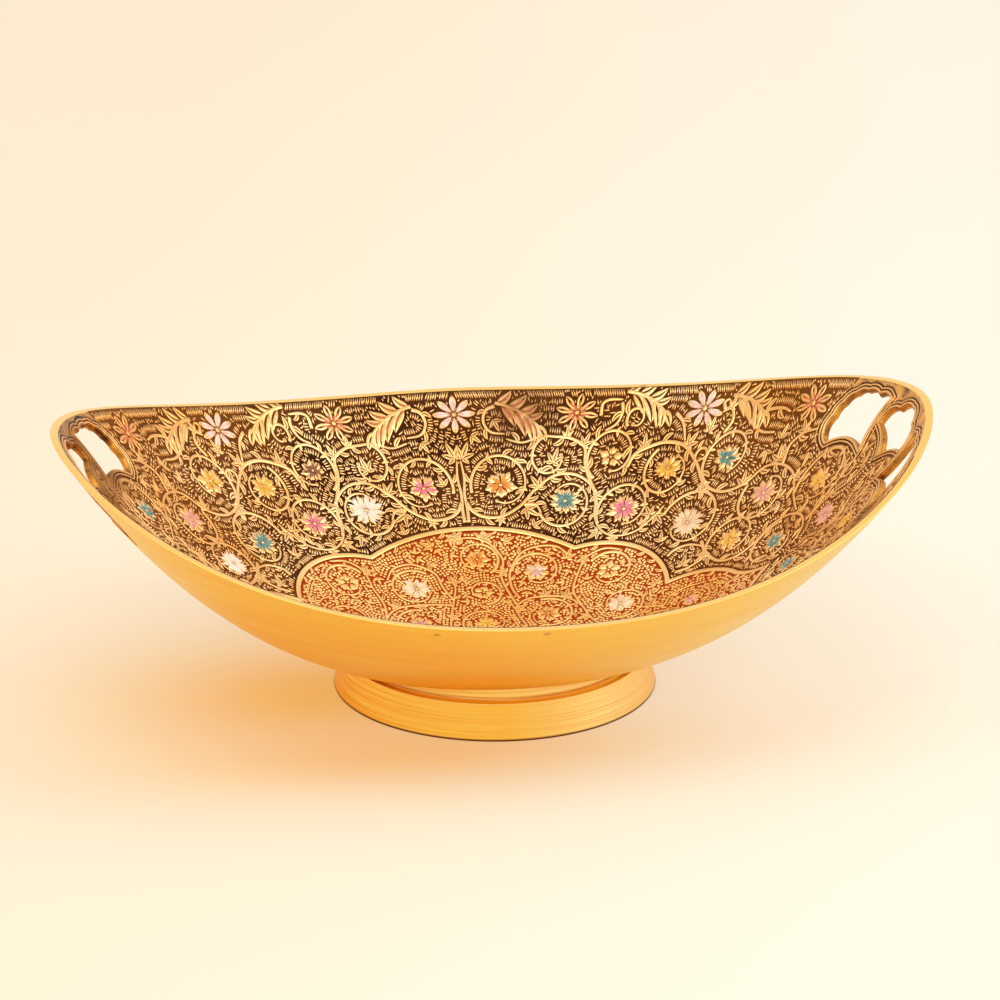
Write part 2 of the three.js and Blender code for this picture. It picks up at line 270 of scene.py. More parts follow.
def curve_through(points):
    """Smooth path through points: a Catmull-Rom spline, evened out."""
    p = np.asarray(points, float)
    p = np.vstack([2 * p[0] - p[1], p, 2 * p[-1] - p[-2]])
    t = np.linspace(0, 1, 16, endpoint=False)[:, None]
    a, b, c, d = (p[i : len(p) - 3 + i, None] for i in range(4))
    curve = 0.5 * (2 * b + (c - a) * t + (2 * a - 5 * b + 4 * c - d) * t**2 + (3 * b - a - 3 * c + d) * t**3)
    return evened(np.vstack([curve.reshape(-1, 2), p[-2]]))


def evened(path, step=0.8):
    """The same path with its points at even distances."""
    length = np.concatenate([[0], np.cumsum(np.linalg.norm(np.diff(path, axis=0), axis=1))])
    count = max(int(round(length[-1] / step)), 2) + 1
    at = np.linspace(0, length[-1], count)
    return np.stack([np.interp(at, length, path[:, k]) for k in (0, 1)], -1)


def leftwards(path):
    """Unit vectors to the left of a path, or of an array of paths."""
    along = np.gradient(path, axis=-2)
    along /= np.maximum(np.linalg.norm(along, axis=-1, keepdims=True), 1e-9)
    return np.stack([-along[..., 1], along[..., 0]], -1)


def heading_at(path, k):
    """Heading in degrees from a path's point to the next."""
    return math.degrees(math.atan2(*(path[k + 1] - path[k])[::-1]))


def face_frame(x, y):
    """Plan steps for a millimetre along the wall and for one down it, as rows of a matrix."""
    normal = normal_of(INNER, x, y)
    down = normal[:2] / max(np.linalg.norm(normal[:2]), 1e-6)
    if abs(normal[2]) > 0.999:
        down = np.array([0.0, -1.0])
    return np.array([[-down[1], down[0]], down * normal[2]])


def ring_quads(rings, around, closed=False):
    """Quads between rings of points that follow each other, back to the first ring where closed."""
    ring = np.arange(rings if closed else rings - 1)[:, None]
    i = np.arange(around)[None]
    after = (i + 1) % around
    near, far = ring * around, (ring + 1) % rings * around
    return np.stack([near + i, near + after, far + after, far + i], -1).reshape(-1, 4)


class Relief:
    """Raised bars and pebbles drawn in plan, each closed, with its foot and top at a lift."""

    def __init__(self):
        self.points, self.lifts, self.edges, self.quads, self.count = [], [], [], [], 0

    def add(self, points, lifts, edges, quads):
        """Takes up points with their lifts, how much painted shade each gets as a cut edge, and their faces.
        """
        shape = points.shape[:-1]
        self.points.append(points.reshape(-1, 2))
        self.lifts.append(np.broadcast_to(lifts, shape).ravel())
        self.edges.append(np.broadcast_to(edges, shape).ravel())
        self.quads.append(quads.reshape(-1, 4) + self.count)
        self.count += points[..., 0].size

    def bars(self, paths, half_widths, top=RELIEF, foot=0.0, shade=0.0):
        """Bars along paths, each point giving a section: left foot, left top, right top, right foot."""
        bars, n = paths.shape[:2]
        width = np.broadcast_to(half_widths, (bars, n))[..., None]
        section = np.array([1, SHOULDER, -SHOULDER, -1])
        points = paths[:, :, None] + leftwards(paths)[:, :, None] * (width * section)[..., None]
        caps = np.array([[0, 3, 2, 1], [4 * n - 4, 4 * n - 3, 4 * n - 2, 4 * n - 1]])
        quads = np.vstack([ring_quads(n, 4), caps])[None] + (np.arange(bars) * 4 * n)[:, None, None]
        # Painted shade: feet take it in full, tops take the share given by shade
        self.add(points, np.array([foot, top, top, foot]), np.array([1.0, shade, shade, 1.0]), quads)

    def bar(self, path, half_widths, top=RELIEF, foot=0.0):
        self.bars(path[None], np.broadcast_to(half_widths, len(path))[None], top, foot)

    def rings(self, outlines, top):
        """Closed bar on four outlines: inner foot, inner and outer edge of its top, outer foot."""
        points = np.stack(outlines, 1)
        quads = ring_quads(len(points), 4, closed=True)
        self.add(points, np.array([0.0, top, top, 0.0]), np.array([1.0, 0, 0, 1.0]), quads)

    def pebbles(self, centres, radius, top=RELIEF, foot=0.0):
        """Six-sided pebbles: a ring at the foot and a smaller one on top, closed by quads."""
        if not len(centres):
            return
        ring = direction(np.pi / 3 * np.arange(6))
        radius = np.broadcast_to(radius, len(centres))[:, None, None]
        points = np.stack([centres[:, None] + ring * radius, centres[:, None] + ring * radius * 0.86], 1)
        lids = np.array([[6, 7, 8, 9], [6, 9, 10, 11], [3, 2, 1, 0], [5, 4, 3, 0]])
        quads = np.vstack([ring_quads(2, 6), lids])[None] + (np.arange(len(centres)) * 12)[:, None, None]
        self.add(points, np.array([foot, top])[:, None], np.array([1.0, 0])[:, None], quads)

    def placed(self, flip_x=1, flip_y=1):
        """Points, lifts, painted edge shades and quads, mirrored along or across the bowl."""
        points = np.concatenate(self.points) * (flip_x, flip_y)
        quads = np.concatenate(self.quads)
        return points, np.concatenate(self.lifts), np.concatenate(self.edges), quads[:, :: flip_x * flip_y]


class Ground:
    """Map of the plan in small cells, which marks those that the drawing has taken."""

    cell = 0.25

    def __init__(self, low, high):
        self.low = np.array(low, float)
        self.shape = tuple(np.ceil((np.array(high) - low) / self.cell).astype(int))
        self.high = self.low + np.array(self.shape) * self.cell
        self.taken = np.zeros(self.shape, bool)
        self.x, self.y = (self.low[k] + (np.arange(self.shape[k]) + 0.5) * self.cell for k in (0, 1))
        self.x, self.y = np.meshgrid(self.x, self.y, indexing="ij")

    def cells(self, points):
        index = np.floor((points - self.low) / self.cell).astype(int)
        inside = ((index >= 0) & (index < self.shape)).all(-1)
        return np.clip(index, 0, np.array(self.shape) - 1), inside

    def take(self, points, radius):
        """Marks the discs of a radius round points."""
        points = np.asarray(points, float).reshape(-1, 2)
        if not len(points):
            return
        radius = np.broadcast_to(radius, len(points))
        reach = int(np.ceil(radius.max() / self.cell))
        offsets = np.mgrid[-reach : reach + 1, -reach : reach + 1].reshape(2, -1).T * self.cell
        near = (np.linalg.norm(offsets, axis=1)[None] <= radius[:, None]).ravel()
        spots = (points[:, None] + offsets[None]).reshape(-1, 2)[near]
        index, inside = self.cells(spots)
        index = index[inside]
        self.taken[index[:, 0], index[:, 1]] = True

    def free(self, points):
        """True where none of a mark's points, the second last axis, lies on a taken cell."""
        index, inside = self.cells(points)
        return (inside & ~self.taken[index[..., 0], index[..., 1]]).all(-1)

    def block(self, mask):
        self.taken |= mask

    def lattice(self, across, up):
        """Points of a lattice over the whole map, at two pitches."""
        x, y = np.meshgrid(*(np.arange(self.low[k], self.high[k], (across, up)[k]) for k in (0, 1)))
        return np.stack([x.ravel(), y.ravel()], -1)


def within(outline, x, y):
    """True inside an outline that circles its own middle once, by its radius at each angle."""
    middle = outline.mean(0)
    rays = outline - middle
    angle = np.arctan2(rays[:, 1], rays[:, 0])
    order = np.argsort(angle)
    radius = np.linalg.norm(rays, axis=1)[order]
    at = np.arctan2(y - middle[1], x - middle[0])
    return np.hypot(x - middle[0], y - middle[1]) < np.interp(at, angle[order], radius, period=2 * np.pi)


class Engraving:
    """A relief with its painted petals and the ground that is left round it."""

    def __init__(self, low, high):
        self.brass, self.paints, self.ground, self.curves = Relief(), {}, Ground(low, high), []

    def paint(self, color):
        return self.paints.setdefault(color, Relief())

    def stem(self, points, root=0.8, tip=0.42):
        """Stem through points, thinner towards its tip, eased by a tanh so that it stays under the lip."""
        path = points if isinstance(points, np.ndarray) else curve_through(points)
        reach, soft, last = reach_of(INNER, path[:, 0], path[:, 1]), 0.93, 1 - 2.6 / INNER[1]
        eased = soft + (last - soft) * np.tanh((reach - soft) / (last - soft))
        path = path * np.where(reach > soft, eased / reach, 1)[:, None]
        width = np.linspace(root, tip, len(path))
        width[-1] *= 0.6
        self.brass.bar(path, width, 0.27)
        self.ground.take(path, width + 0.12)
        self.curves.append(path)

    def leaf(self, x, y, angle, length, width, bend=0.0, top=0.24, vein=None):
        """Pointed leaf: a path that turns by a bend, its half width a sine that leans to the root."""
        s = np.linspace(0, 1, 8)
        steps = direction(np.radians(angle + bend * (s[1:] + s[:-1]) / 2)) * length / 7
        path = np.vstack([[0, 0], np.cumsum(steps, axis=0)]) + (x, y)
        half = width / 2 * np.sin(np.pi * s**0.8) ** 0.85 + 0.1
        if width > 1.3:
            side = leftwards(path) * half[:, None]
            for hand in (0.5, -0.5):
                self.brass.bar(path + side * hand, half * 0.43 + 0.03, top)
        else:
            self.brass.bar(path, half, top)
        middle = evened(path, 0.4)
        self.ground.take(middle, np.interp(np.linspace(0, 1, len(middle)), s, half) + 0.24)
        if vein:
            self.paint(vein).bar(path[1:6], half[1:6] * 0.2, top + 0.06, foot=0.1)

    def sprig(self, x, y, angle, size, bend=0.0):
        """Five leaves from one point, the middle one longest."""
        fan = ((0, 1, 0.34), (40, 0.78, 0.3), (-40, 0.78, 0.3), (84, 0.5, 0.26), (-84, 0.5, 0.26))
        for turn, share, wide in fan:
            self.leaf(x, y, angle + turn, size * share, size * wide, bend + turn * 0.35)

    def scroll(self, x, y, radius, start, sweep):
        """Stem that circles a point and closes in on it, a large one with leaves on both sides."""
        s, closed_in = np.linspace(0, 1, 90), 0.55
        reach = radius * (1 - (1 - closed_in) * s**2.2)
        path = evened((x, y) + reach[:, None] * direction(np.radians(start + sweep * s)))
        self.stem(path, 0.72, 0.4)
        self.brass.pebbles(path[-1:], 0.85)
        self.ground.take(path[-1:], 1.15)
        if radius <= 6:
            return
        hand = np.sign(sweep)
        for share, size in ((0.3, 0.3), (0.52, 0.27), (0.74, 0.22)):
            k = int(share * (len(path) - 1))
            ahead = heading_at(path, k)
            self.leaf(*path[k], ahead + hand * 38, radius * size, radius * 0.13, hand * 55)
            self.leaf(*path[k], ahead - hand * 30, radius * size * 0.8, radius * 0.1, -hand * 40)

    def blossom(self, x, y, radius, petals, color, turn=0.0, full=False):
        """Petals of three slender lobes round a heart, with brushed streaks of uneven length."""
        frame, middle = face_frame(x, y), np.array([x, y])
        s = np.linspace(0, 1, 7)
        angle = np.radians(turn + 360 * np.arange(petals) / petals)
        share = math.pi / petals
        wide = radius * math.sin(share)

        def rays(angles, reach):
            return middle + (reach[..., None] * direction(angles)) @ frame

        for lean, length, thick in ((-0.5, 0.84, 0.27), (0.5, 0.84, 0.27), (0, 1, 0.3)):
            uneven = random.uniform(0.9, 1.08, petals)[:, None]
            head = angle[:, None] + lean * share * np.sin(np.pi * 0.6 * s)[None]
            paths = rays(head, radius * length * uneven * (0.2 + 0.8 * s)[None])
            self.brass.bars(paths, wide * thick * np.sin(np.pi * s**1.3) ** 0.7 + 0.12, 0.24 + 0.06 * length)
        leans, lengths, thick, skew = FULL_STREAKS if full else STREAKS
        for lean in leans if color else ():
            length = random.uniform(*lengths, petals)[:, None]
            head = angle[:, None] + (lean + random.normal(0, 0.2, petals)[:, None]) * share * s**0.5
            paths = rays(head, radius * (0.1 + length * s))
            half = wide * thick * np.sin(np.pi * s**skew) ** 0.7 + 0.1
            self.paint(color).bars(paths, half, 0.36 + 0.02 * abs(lean), foot=0.1)
        self.brass.pebbles(middle[None], radius * 0.12, 0.42, 0.1)
        self.ground.take([middle], radius * 0.45)
        for reach in (0.45, 0.8):
            self.ground.take(rays(angle, radius * reach * np.ones(petals)), wide * 0.55 * reach + 0.2)

    def acanthus(self, x, y, angle, length, vein=None):
        """Flame-like leaf: a bent midrib with broad lobes on both sides, whose tips turn away from it."""
        points, lobes = 24, 4
        s = np.linspace(0, 1, points)
        heading = np.radians(angle + 14 - 40 * s)
        rib = np.cumsum(direction(heading) * length * 0.86 / points, axis=0) + (x, y)
        self.brass.bar(rib, np.linspace(0.75, 0.3, points), 0.32)
        self.ground.take(rib, 1.0)
        for hand, share in ((1, 0.72), (-1, 1.0)):
            for i in range(lobes):
                k = 1 + round(19 * i / lobes) + 2 * (hand < 0)
                size = share * length * (0.25 + 0.12 * math.sin(math.pi * (i + 0.8) / lobes))
                turned = math.degrees(heading[k]) + hand * 14
                root = rib[k] + leftwards(rib)[k] * hand * 0.3
                self.leaf(*root, turned, size * 1.12, size * 0.5, hand * 56, 0.25 + 0.015 * i, vein)
        self.leaf(*rib[-4], math.degrees(heading[-1]), length * 0.26, length * 0.12, -30, 0.26)

    def dress(self, every=5.6, size=3.9):
        """Comma-shaped leaves that curl off the stems on alternate sides, where the ground is free."""
        for path in list(self.curves):
            hand = 1
            for k in range(5, len(path) - 4, round(every / 0.8)):
                ahead = heading_at(path, k)
                for side in (hand, -hand):
                    length = size * random.uniform(0.85, 1.25)
                    turn = np.radians(ahead + side * np.array([58, 46, 36]))
                    reach = np.array([0.42, 0.72, 1.05])[:, None] * length
                    if self.ground.free(path[k] + reach * direction(turn)):
                        self.leaf(*path[k], ahead + side * 76, length, length * 0.4, -side * 80)
                        break
                hand = -hand

    def scatter(self, tries, size, room):
        """Small sprigs of three lobes at chance places with free ground round them."""
        ring = np.concatenate([[[0, 0]], room * direction(np.arange(8) * math.pi / 4)])
        for x, y, angle in random.uniform((*self.ground.low, 0), (*self.ground.high, 360), (tries, 3)):
            if not self.ground.free(np.array([x, y]) + ring):
                continue
            root = np.array([x, y]) - room * 0.7 * direction(math.radians(angle))
            for lean, length, wide in ((0, 1.0, 0.34), (46, 0.72, 0.3), (-46, 0.72, 0.3)):
                self.leaf(*root, angle + lean, size * length, size * wide, lean * 0.5)

    def comb(self, rows, length=1.9, half_width=0.29, pitch=0.86, gap=0.24):
        """Rows of short bars square to the stems, laid outwards until the ground is full."""
        kept = []
        for row in range(rows):
            distance = 0.76 + gap + length / 2 + row * (length + gap)
            for path in self.curves:
                for hand in (1, -1):
                    line = evened(path + leftwards(path) * hand * distance, pitch)
                    if len(line) > 2:
                        kept += self.marks(line, leftwards(line) * hand, length, half_width)
        self.brass.bars(np.concatenate(kept), half_width, 0.19, shade=0.06)

    def marks(self, centres, heading, length, half_width):
        """Bars centred on points along a heading, where the ground is free, every second one first."""
        centres = centres + random.normal(0, 0.04, centres.shape)
        heading = heading + random.normal(0, 0.07, heading.shape)
        ends = np.array([-0.5, 0.5])[:, None] * length * random.uniform(0.86, 1.06, (len(centres), 1, 1))
        tests = centres[:, None] + heading[:, None] * np.linspace(-0.5, 0.5, 5)[:, None] * length
        kept = []
        for start in (0, 1):
            some = tests[start::2]
            good = self.ground.free(some)
            self.ground.take(some[good], half_width + 0.09)
            kept.append((centres[start::2, None] + heading[start::2, None] * ends[start::2])[good])
        return kept

    def fill_gaps(self, length=0.9, half_width=0.28, tilt=65.0):
        """Short tilted bars in what the combs leave free."""
        centres = self.ground.lattice(0.62, 0.8)
        heading = direction(np.radians(tilt + random.normal(0, 12, len(centres))))
        kept = self.marks(centres, heading, length, half_width)
        self.brass.bars(np.concatenate(kept), half_width, 0.19, shade=0.06)

    def pebble_rows(self, rows, radius=0.63, pitch=1.24):
        """Rows of pebbles along the stems, laid outwards, then a lattice in what is left."""
        kept = []
        cross = 0.62 * radius * np.array([[0, 0], [1, 0], [-1, 0], [0, 1], [0, -1]])
        for row in range(rows + 1):
            distance = 0.5 + 0.28 + radius + row * pitch
            beside = [path + leftwards(path) * hand * distance for path in self.curves for hand in (1, -1)]
            lines = [evened(path, pitch) for path in beside]
            if row == rows:
                lattice = self.ground.lattice(0.6, 0.6)
                lines = [lattice[k::4] for k in range(4)]
            for line in lines:
                line = line + random.normal(0, 0.05, line.shape)
                for start in (0, 1):
                    some = line[start::2]
                    good = self.ground.free(some[:, None] + cross)
                    self.ground.take(some[good], 0.88 * radius)
                    kept.append(some[good])
        kept = np.concatenate(kept)
        self.brass.pebbles(kept, radius * random.uniform(0.85, 1.15, len(kept)))


# The black field

# Stems of one quarter of the black field, as points along each
WALL_STEMS = [
    [(0.7, 73), (0.9, 78), (0.6, 84), (1.2, 90), (0.7, 96)],
    [(0.9, 81), (2.6, 77.6), (6.2, 75), (12.5, 74.2), (20, 77.3), (26.5, 82.6), (34, 85.6), (41, 83.8),
     (45.6, 78.8), (46.8, 73), (45.4, 66.5), (46.6, 60), (51, 55.6), (58, 54.2), (64.5, 56.4),
     (69.5, 59)],
    [(21.3, 77.5), (25.4, 76.8), (27, 73)],
    [(47, 75), (45.7, 80.5), (45, 86.5), (45.6, 92), (41.5, 96.2), (36, 98.4), (30.5, 99.8), (24, 99.2),
     (18, 101.4)],
    [(61.4, 101.6), (60.4, 97.6), (57.6, 95), (53.4, 94.6)],
    [(59, 79.2), (62.5, 82.4), (68, 82.4), (74, 80.6), (79.6, 75.6), (82.4, 67), (83.4, 58.5), (88, 51),
     (95.5, 47.2), (103, 47), (108.4, 42), (110.9, 34), (109.2, 25), (108.6, 17.5)],
    [(78.6, 88), (80.4, 83.4), (79.9, 77)],
    [(92.6, 70.6), (96.4, 72.4), (96.8, 76.4), (93.4, 77.6)],
    [(78.6, 36), (79.2, 29), (82.2, 21.8), (87.5, 18.4), (94, 18.6), (100, 20.6), (106.2, 18.4),
     (109.4, 12.4), (108.2, 5.6), (103.6, 1.3)],
    [(66.6, 37.2), (70, 38.6), (74.8, 37.2), (78.6, 33.4)],
    [(67.6, 27.8), (72.4, 27), (77.6, 27.4)],
    [(100.4, 77), (101.4, 69), (104.2, 61), (108.4, 56)],
    [(108.4, 42), (112, 46.4), (117, 45.4), (121, 41.6)],
    [(109.6, 8), (113.6, 9), (119.6, 7.6), (124.4, 4.4), (129.6, 3)],
    [(113, 9.2), (119, 11), (125.4, 12), (131, 13.4)],
    [(15.4, 112.6), (12, 111.4), (10.6, 108), (12.8, 104.4), (18, 103)],
    [(52.8, 99.6), (54.4, 103.6), (58.4, 105.2), (62.4, 103.2)],
    [(94.6, 77.4), (95.2, 80.4), (97.6, 80.4)],
    [(103.6, 66.8), (108.2, 65.2), (112.4, 61.4), (114.4, 57.6)],
]

# Scrolls: middle, radius, where the stem starts and how far it turns, in degrees
WALL_SCROLLS = [
    (14, 86, 10.8, 190, -300), (35.6, 75.2, 9.4, 190, 285), (33.2, 92.6, 6.9, 100, 250),
    (54.4, 85.4, 8.9, 215, -320), (55.4, 64.6, 9.7, 190, -290), (72.6, 71.4, 8.6, 100, 290),
    (75.8, 47.8, 10.6, 135, -320), (92.2, 61.4, 8.8, 205, -300), (100.8, 37.6, 8.8, 115, 290),
    (87.4, 28.6, 8.6, 190, -300), (117.4, 21, 9.4, 150, -310), (99.6, 11, 8.6, 60, 290),
    (125.2, 10.8, 2.6, 180, -420), (64.8, 93.6, 3.4, 200, -340), (84.4, 68.8, 2.4, 200, -330),
]

# Blossoms: middle, then radius, petals and colour on the right and on the left
WALL_BLOSSOMS = [
    ((14, 86), (6.3, 5, "orange"), (6.0, 5, "pink")),
    ((36, 75.4), (6.2, 9, "turquoise"), (7.0, 12, "white")),
    ((54.2, 85.2), (4.6, 5, None), (5.0, 7, "brown")),
    ((55.6, 64.8), (6.5, 8, "pink"), (6.4, 8, "pink")),
    ((72.8, 71.6), (5.4, 9, "yellow"), (5.6, 9, "yellow")),
    ((75.6, 47.2), (6.4, 11, "cream"), (6.2, 9, "turquoise")),
    ((92.4, 61.4), (5.8, 7, "turquoise"), (6.2, 6, "yellow")),
    ((101, 37.4), (6.0, 9, "rose"), (6.4, 10, "rose")),
    ((87.4, 28.4), (5.4, 7, "yellow"), (6.0, 11, "white")),
    ((117.4, 21), (5.6, 7, "yellow"), (5.6, 7, "turquoise")),
    ((99.8, 11.2), (5.2, 7, "turquoise"), (5.2, 7, "yellow")),
]

# Sprigs: root, heading, size
WALL_SPRIGS = [
    (1.2, 96.5, 62, 6.4), (33.6, 90, 60, 5.6), (46.2, 74, -35, 5.2), (27.6, 83, 118, 5.2),
    (21.8, 76, -42, 6), (45.4, 92.6, 48, 4.6), (60, 56, 20, 4), (66, 57, -75, 5), (83.2, 58, -118, 5.2),
    (80.6, 75.2, 25, 5), (95.2, 47.4, 60, 5), (110.6, 32, -10, 4.6), (79, 29.5, 205, 5),
    (70.6, 29.4, 62, 5), (108.8, 15, 20, 4.4), (64, 58, 100, 4.6), (45.5, 60, 205, 4.6),
    (107.4, 45, 60, 5.2), (117, 45.6, 75, 4.6), (40, 97, 75, 4), (66, 83, 70, 5), (88, 75, 40, 4.6),
    (4, 66.2, 20, 5), (12.6, 73.6, -110, 3.6), (112, 9, -60, 4), (124, 15, 60, 4), (50.6, 55.4, 215, 4),
    (96.6, 76.6, 40, 4),
]

# Large leaves under the rim: root, heading, length
RIM_LEAVES = [(14.6, 113.4, -29, 25), (62.4, 103.6, -42, 24), (97.4, 80.4, -54, 23)]

# Flowers under the rim: middle from the field's edge, last one from the long axis at the lip, petal reach
RIM_FLOWER_DOWN, RIM_FLOWER_LAST, RIM_FLOWER_REACH = 9.3, 57.5, 8.0


def rim_flower_middle(step):
    """Plan point of a flower under the rim, a third of the way per step from the middle of the side."""
    angle = math.pi / 2 - (math.pi / 2 - lip_angle(RIM_FLOWER_LAST)) * step / 3
    reach = 1 - (FIELD_MARGIN + 0.3) / INNER[1]
    edge = on_face(INNER, *rim_plan(INNER, angle, reach), 0)
    beside = on_face(INNER, *rim_plan(INNER, angle + 0.05, reach), 0)
    down = np.cross(normal_of(INNER, edge[0], edge[1]), beside - edge)
    return (edge + down / np.linalg.norm(down) * RIM_FLOWER_DOWN)[:2]


def rim_flower(engraving, paint, middle, blush, turn=0.12):
    """Eight petals of two crescents each round a small heart, painted near the heart or all along."""
    frame = face_frame(*middle)
    s = np.linspace(0, 1, 8)
    swell = np.sin(np.pi * s**1.35)
    petal = 1.1 + (RIM_FLOWER_REACH - 1.1) * s

    def ray(angle, reach, aside=0 * s):
        c, d = math.cos(angle), math.sin(angle)
        return middle + (reach[:, None] * (c, d) + aside[:, None] * (-d, c)) @ frame

    for angle in np.arange(8) * math.pi / 4 + turn:
        for hand in (1, -1):
            engraving.brass.bar(ray(angle, petal, hand * 0.88 * swell), 0.38 * swell**0.6 + 0.13, 0.32)
            if blush:
                inside = ray(angle, 1.4 + (RIM_FLOWER_REACH - 2.6) * s, hand * 0.72 * swell)
                paint.bar(inside, 0.36 * swell**0.6 + 0.08, 0.38, foot=0.2)
            engraving.brass.bar(ray(angle + hand * math.pi / 8, 1.2 + 2.2 * s), 0.22 * swell + 0.06, 0.2)
        streak = RIM_FLOWER_REACH * 0.85 if blush else 4.4
        paint.bar(ray(angle, 0.7 + streak * s), 0.34 * swell**0.6 + 0.08, 0.26)
        if not blush:
            paint.bar(ray(angle + 0.2, 0.8 + 2.9 * s), 0.26 * swell**0.6 + 0.06, 0.36, foot=0.1)
        along = np.linspace(0, 1, 14)
        path = np.stack([np.interp(along, s, k) for k in ray(angle, petal).T], -1)
        engraving.ground.take(path, 1.2 * np.sin(np.pi * along**1.35) + 0.4)
    engraving.brass.pebbles(middle[None], 0.95, 0.46)
    engraving.ground.take(middle[None], 1.6)


def lip_bars(engraving, pitch=0.84, length=2.2, slant=24):
    """Short bars in a row along the lip, turned by a slant from square to it, where the ground is free."""
    path = evened(lip_quarter(1.55, 900), pitch)
    turn = math.radians(slant)
    c, s = math.cos(turn), math.sin(turn)
    kept = engraving.marks(path, leftwards(path) @ np.array([[c, s], [-s, c]]), length, 0.27)
    engraving.brass.bars(np.concatenate(kept), 0.28)


def upper_right(outline):
    """The part of a closed outline with x and y above zero, in order of angle."""
    part = outline[(outline > -0.01).all(1)]
    return part[np.argsort(np.arctan2(part[:, 1], part[:, 0]))]


def wall_quarter():
    """Empty drawing of one quarter of the wall, x and y above zero."""
    return Engraving((0, 0), (148, 119))


def block_bare_parts(ground):
    """Takes from a quarter's ground the lip, the medallion, the handle's panel and its openings."""
    x, y = ground.x, ground.y
    ground.block(reach_of(INNER, x, y) > 1 - 0.2 / INNER[1])
    ground.block(within(grow(medallion_outline(), BORDER / 2 + 0.3), x, y))
    ground.block((height_of(INNER, x, y) > PANEL[1]) & (y < PANEL[0]))
    for outline, frame_of in openings(1)[:2]:
        grown = grow(outline, RIM_OF_OPENING + 0.5)
        ground.block(within(opening_on_face(grown, frame_of, INNER)[:, :2], x, y))


def rim_flowers(engraving):
    """Flowers under the rim, the middle one kept for both quarters that share it, and their paints."""
    paints = []
    for step in range(4):
        drawn = engraving if step else wall_quarter()
        paints.append(Relief())
        rim_flower(drawn, paints[-1], rim_flower_middle(step), step % 2 == 0, 0.12 if step else 0)
        engraving.ground.block(drawn.ground.taken)
    return paints


def black_field(side):
    """Ornament of the wall in one quarter, with the blossoms of one side, and the rim flowers' paints."""
    e = wall_quarter()
    block_bare_parts(e.ground)
    end_flower = wall_quarter()
    end_flower.blossom(*END_FLOWER, None, turn=22.5)
    e.ground.block(end_flower.ground.taken)
    flowers = rim_flowers(e)
    for points in WALL_STEMS:
        e.stem(points)
    for scroll in WALL_SCROLLS:
        e.scroll(*scroll)
    for number, leaf in enumerate(RIM_LEAVES):
        e.acanthus(*leaf, vein="rust" if number == 0 else None)
    for (x, y), *looks in WALL_BLOSSOMS:
        radius, petals, color = looks[side == "left"]
        e.blossom(x, y, radius, petals, color, 7 if color == "white" else x, color in FULL_COLORS)
    for sprig in WALL_SPRIGS:
        e.sprig(*sprig)
    lip_bars(e)
    e.dress()
    e.scatter(tries=1500, size=4.4, room=2.3)
    e.curves.append(evened(lip_quarter(1.9, 400)))
    e.curves.append(evened(upper_right(grow(medallion_outline(), BORDER / 2 - 0.6))))
    e.comb(rows=6)
    e.fill_gaps()
    return e, flowers


# The red medallion

# Stems of the upper half of the medallion
RED_STEMS = [
    [(0.5, 10.5), (4, 14), (10, 14.5), (14, 18), (12.5, 25), (12, 31), (16, 35), (23, 35.5), (30, 33),
     (34.5, 27), (36, 20.5), (38.5, 14.5), (45, 11.5), (52, 12.5), (57.5, 15.5), (60, 19)],
    [(12.2, 33), (9, 47.5), (10.6, 56), (7, 63.5), (1, 66.6), (-6, 66)],
    [(14, 36), (12, 42), (12.4, 50), (17, 57.6), (23, 59.8), (30, 58.4), (34, 53.5)],
    [(34.6, 27), (33, 36), (36.4, 45), (40, 50.4), (46.5, 51.8), (52, 49)],
    [(57.4, 15.4), (61, 12.4), (64.4, 16.6), (70, 17.2), (76.6, 14.6)],
    [(-0.5, 10.5), (-5, 13.6), (-11, 14.6), (-12.4, 20), (-11.4, 28), (-9.6, 36), (-8, 44), (-9, 50)],
    [(-10, 34), (-14, 34.6), (-22, 34), (-30, 31.4), (-34.4, 25), (-35, 18.6), (-40, 12.6), (-47, 11),
     (-54, 13), (-59, 17)],
    [(-34.4, 25), (-34.6, 33), (-37.6, 41), (-40.2, 49), (-46, 51.8), (-52, 50)],
    [(-9.4, 37), (-12.4, 44), (-14.6, 51), (-22, 54.6), (-29, 52), (-32, 46)],
    [(-57, 15.5), (-61, 12.4), (-65, 16.6), (-71, 17.2), (-77, 14)],
]

# Scrolls of the medallion: middle, radius, start and sweep
RED_SCROLLS = [
    (1.5, 57.0, 7.6, -60, 300), (21.5, 48.6, 8.6, 170, -290), (-22, 42.8, 9.0, 60, 280),
    (46.4, 41.5, 8.2, 130, -290), (-46.4, 41.5, 8.2, 50, 290), (22.4, 25.2, 8.8, 100, -290),
    (47.6, 22.4, 8.4, -120, 290), (-22.6, 22.6, 8.6, 80, 280), (-46.6, 21.6, 8.6, -60, -290),
    (0.4, 22.4, 8.4, 230, -290), (70, 8.4, 6.6, 60, -280), (-70, 8.4, 6.6, 120, 280),
    (1.6, 40.6, 6.4, 270, 280), (12.6, 4.2, 6.0, 150, -290), (35, 4.6, 6.6, 200, 290),
    (57.4, 4.2, 6.0, 150, -290), (-23.4, 8.2, 4.6, 60, 290), (-46.6, 6.6, 4.8, 120, -290),
    (83, 3.2, 3.2, 120, -290),
]

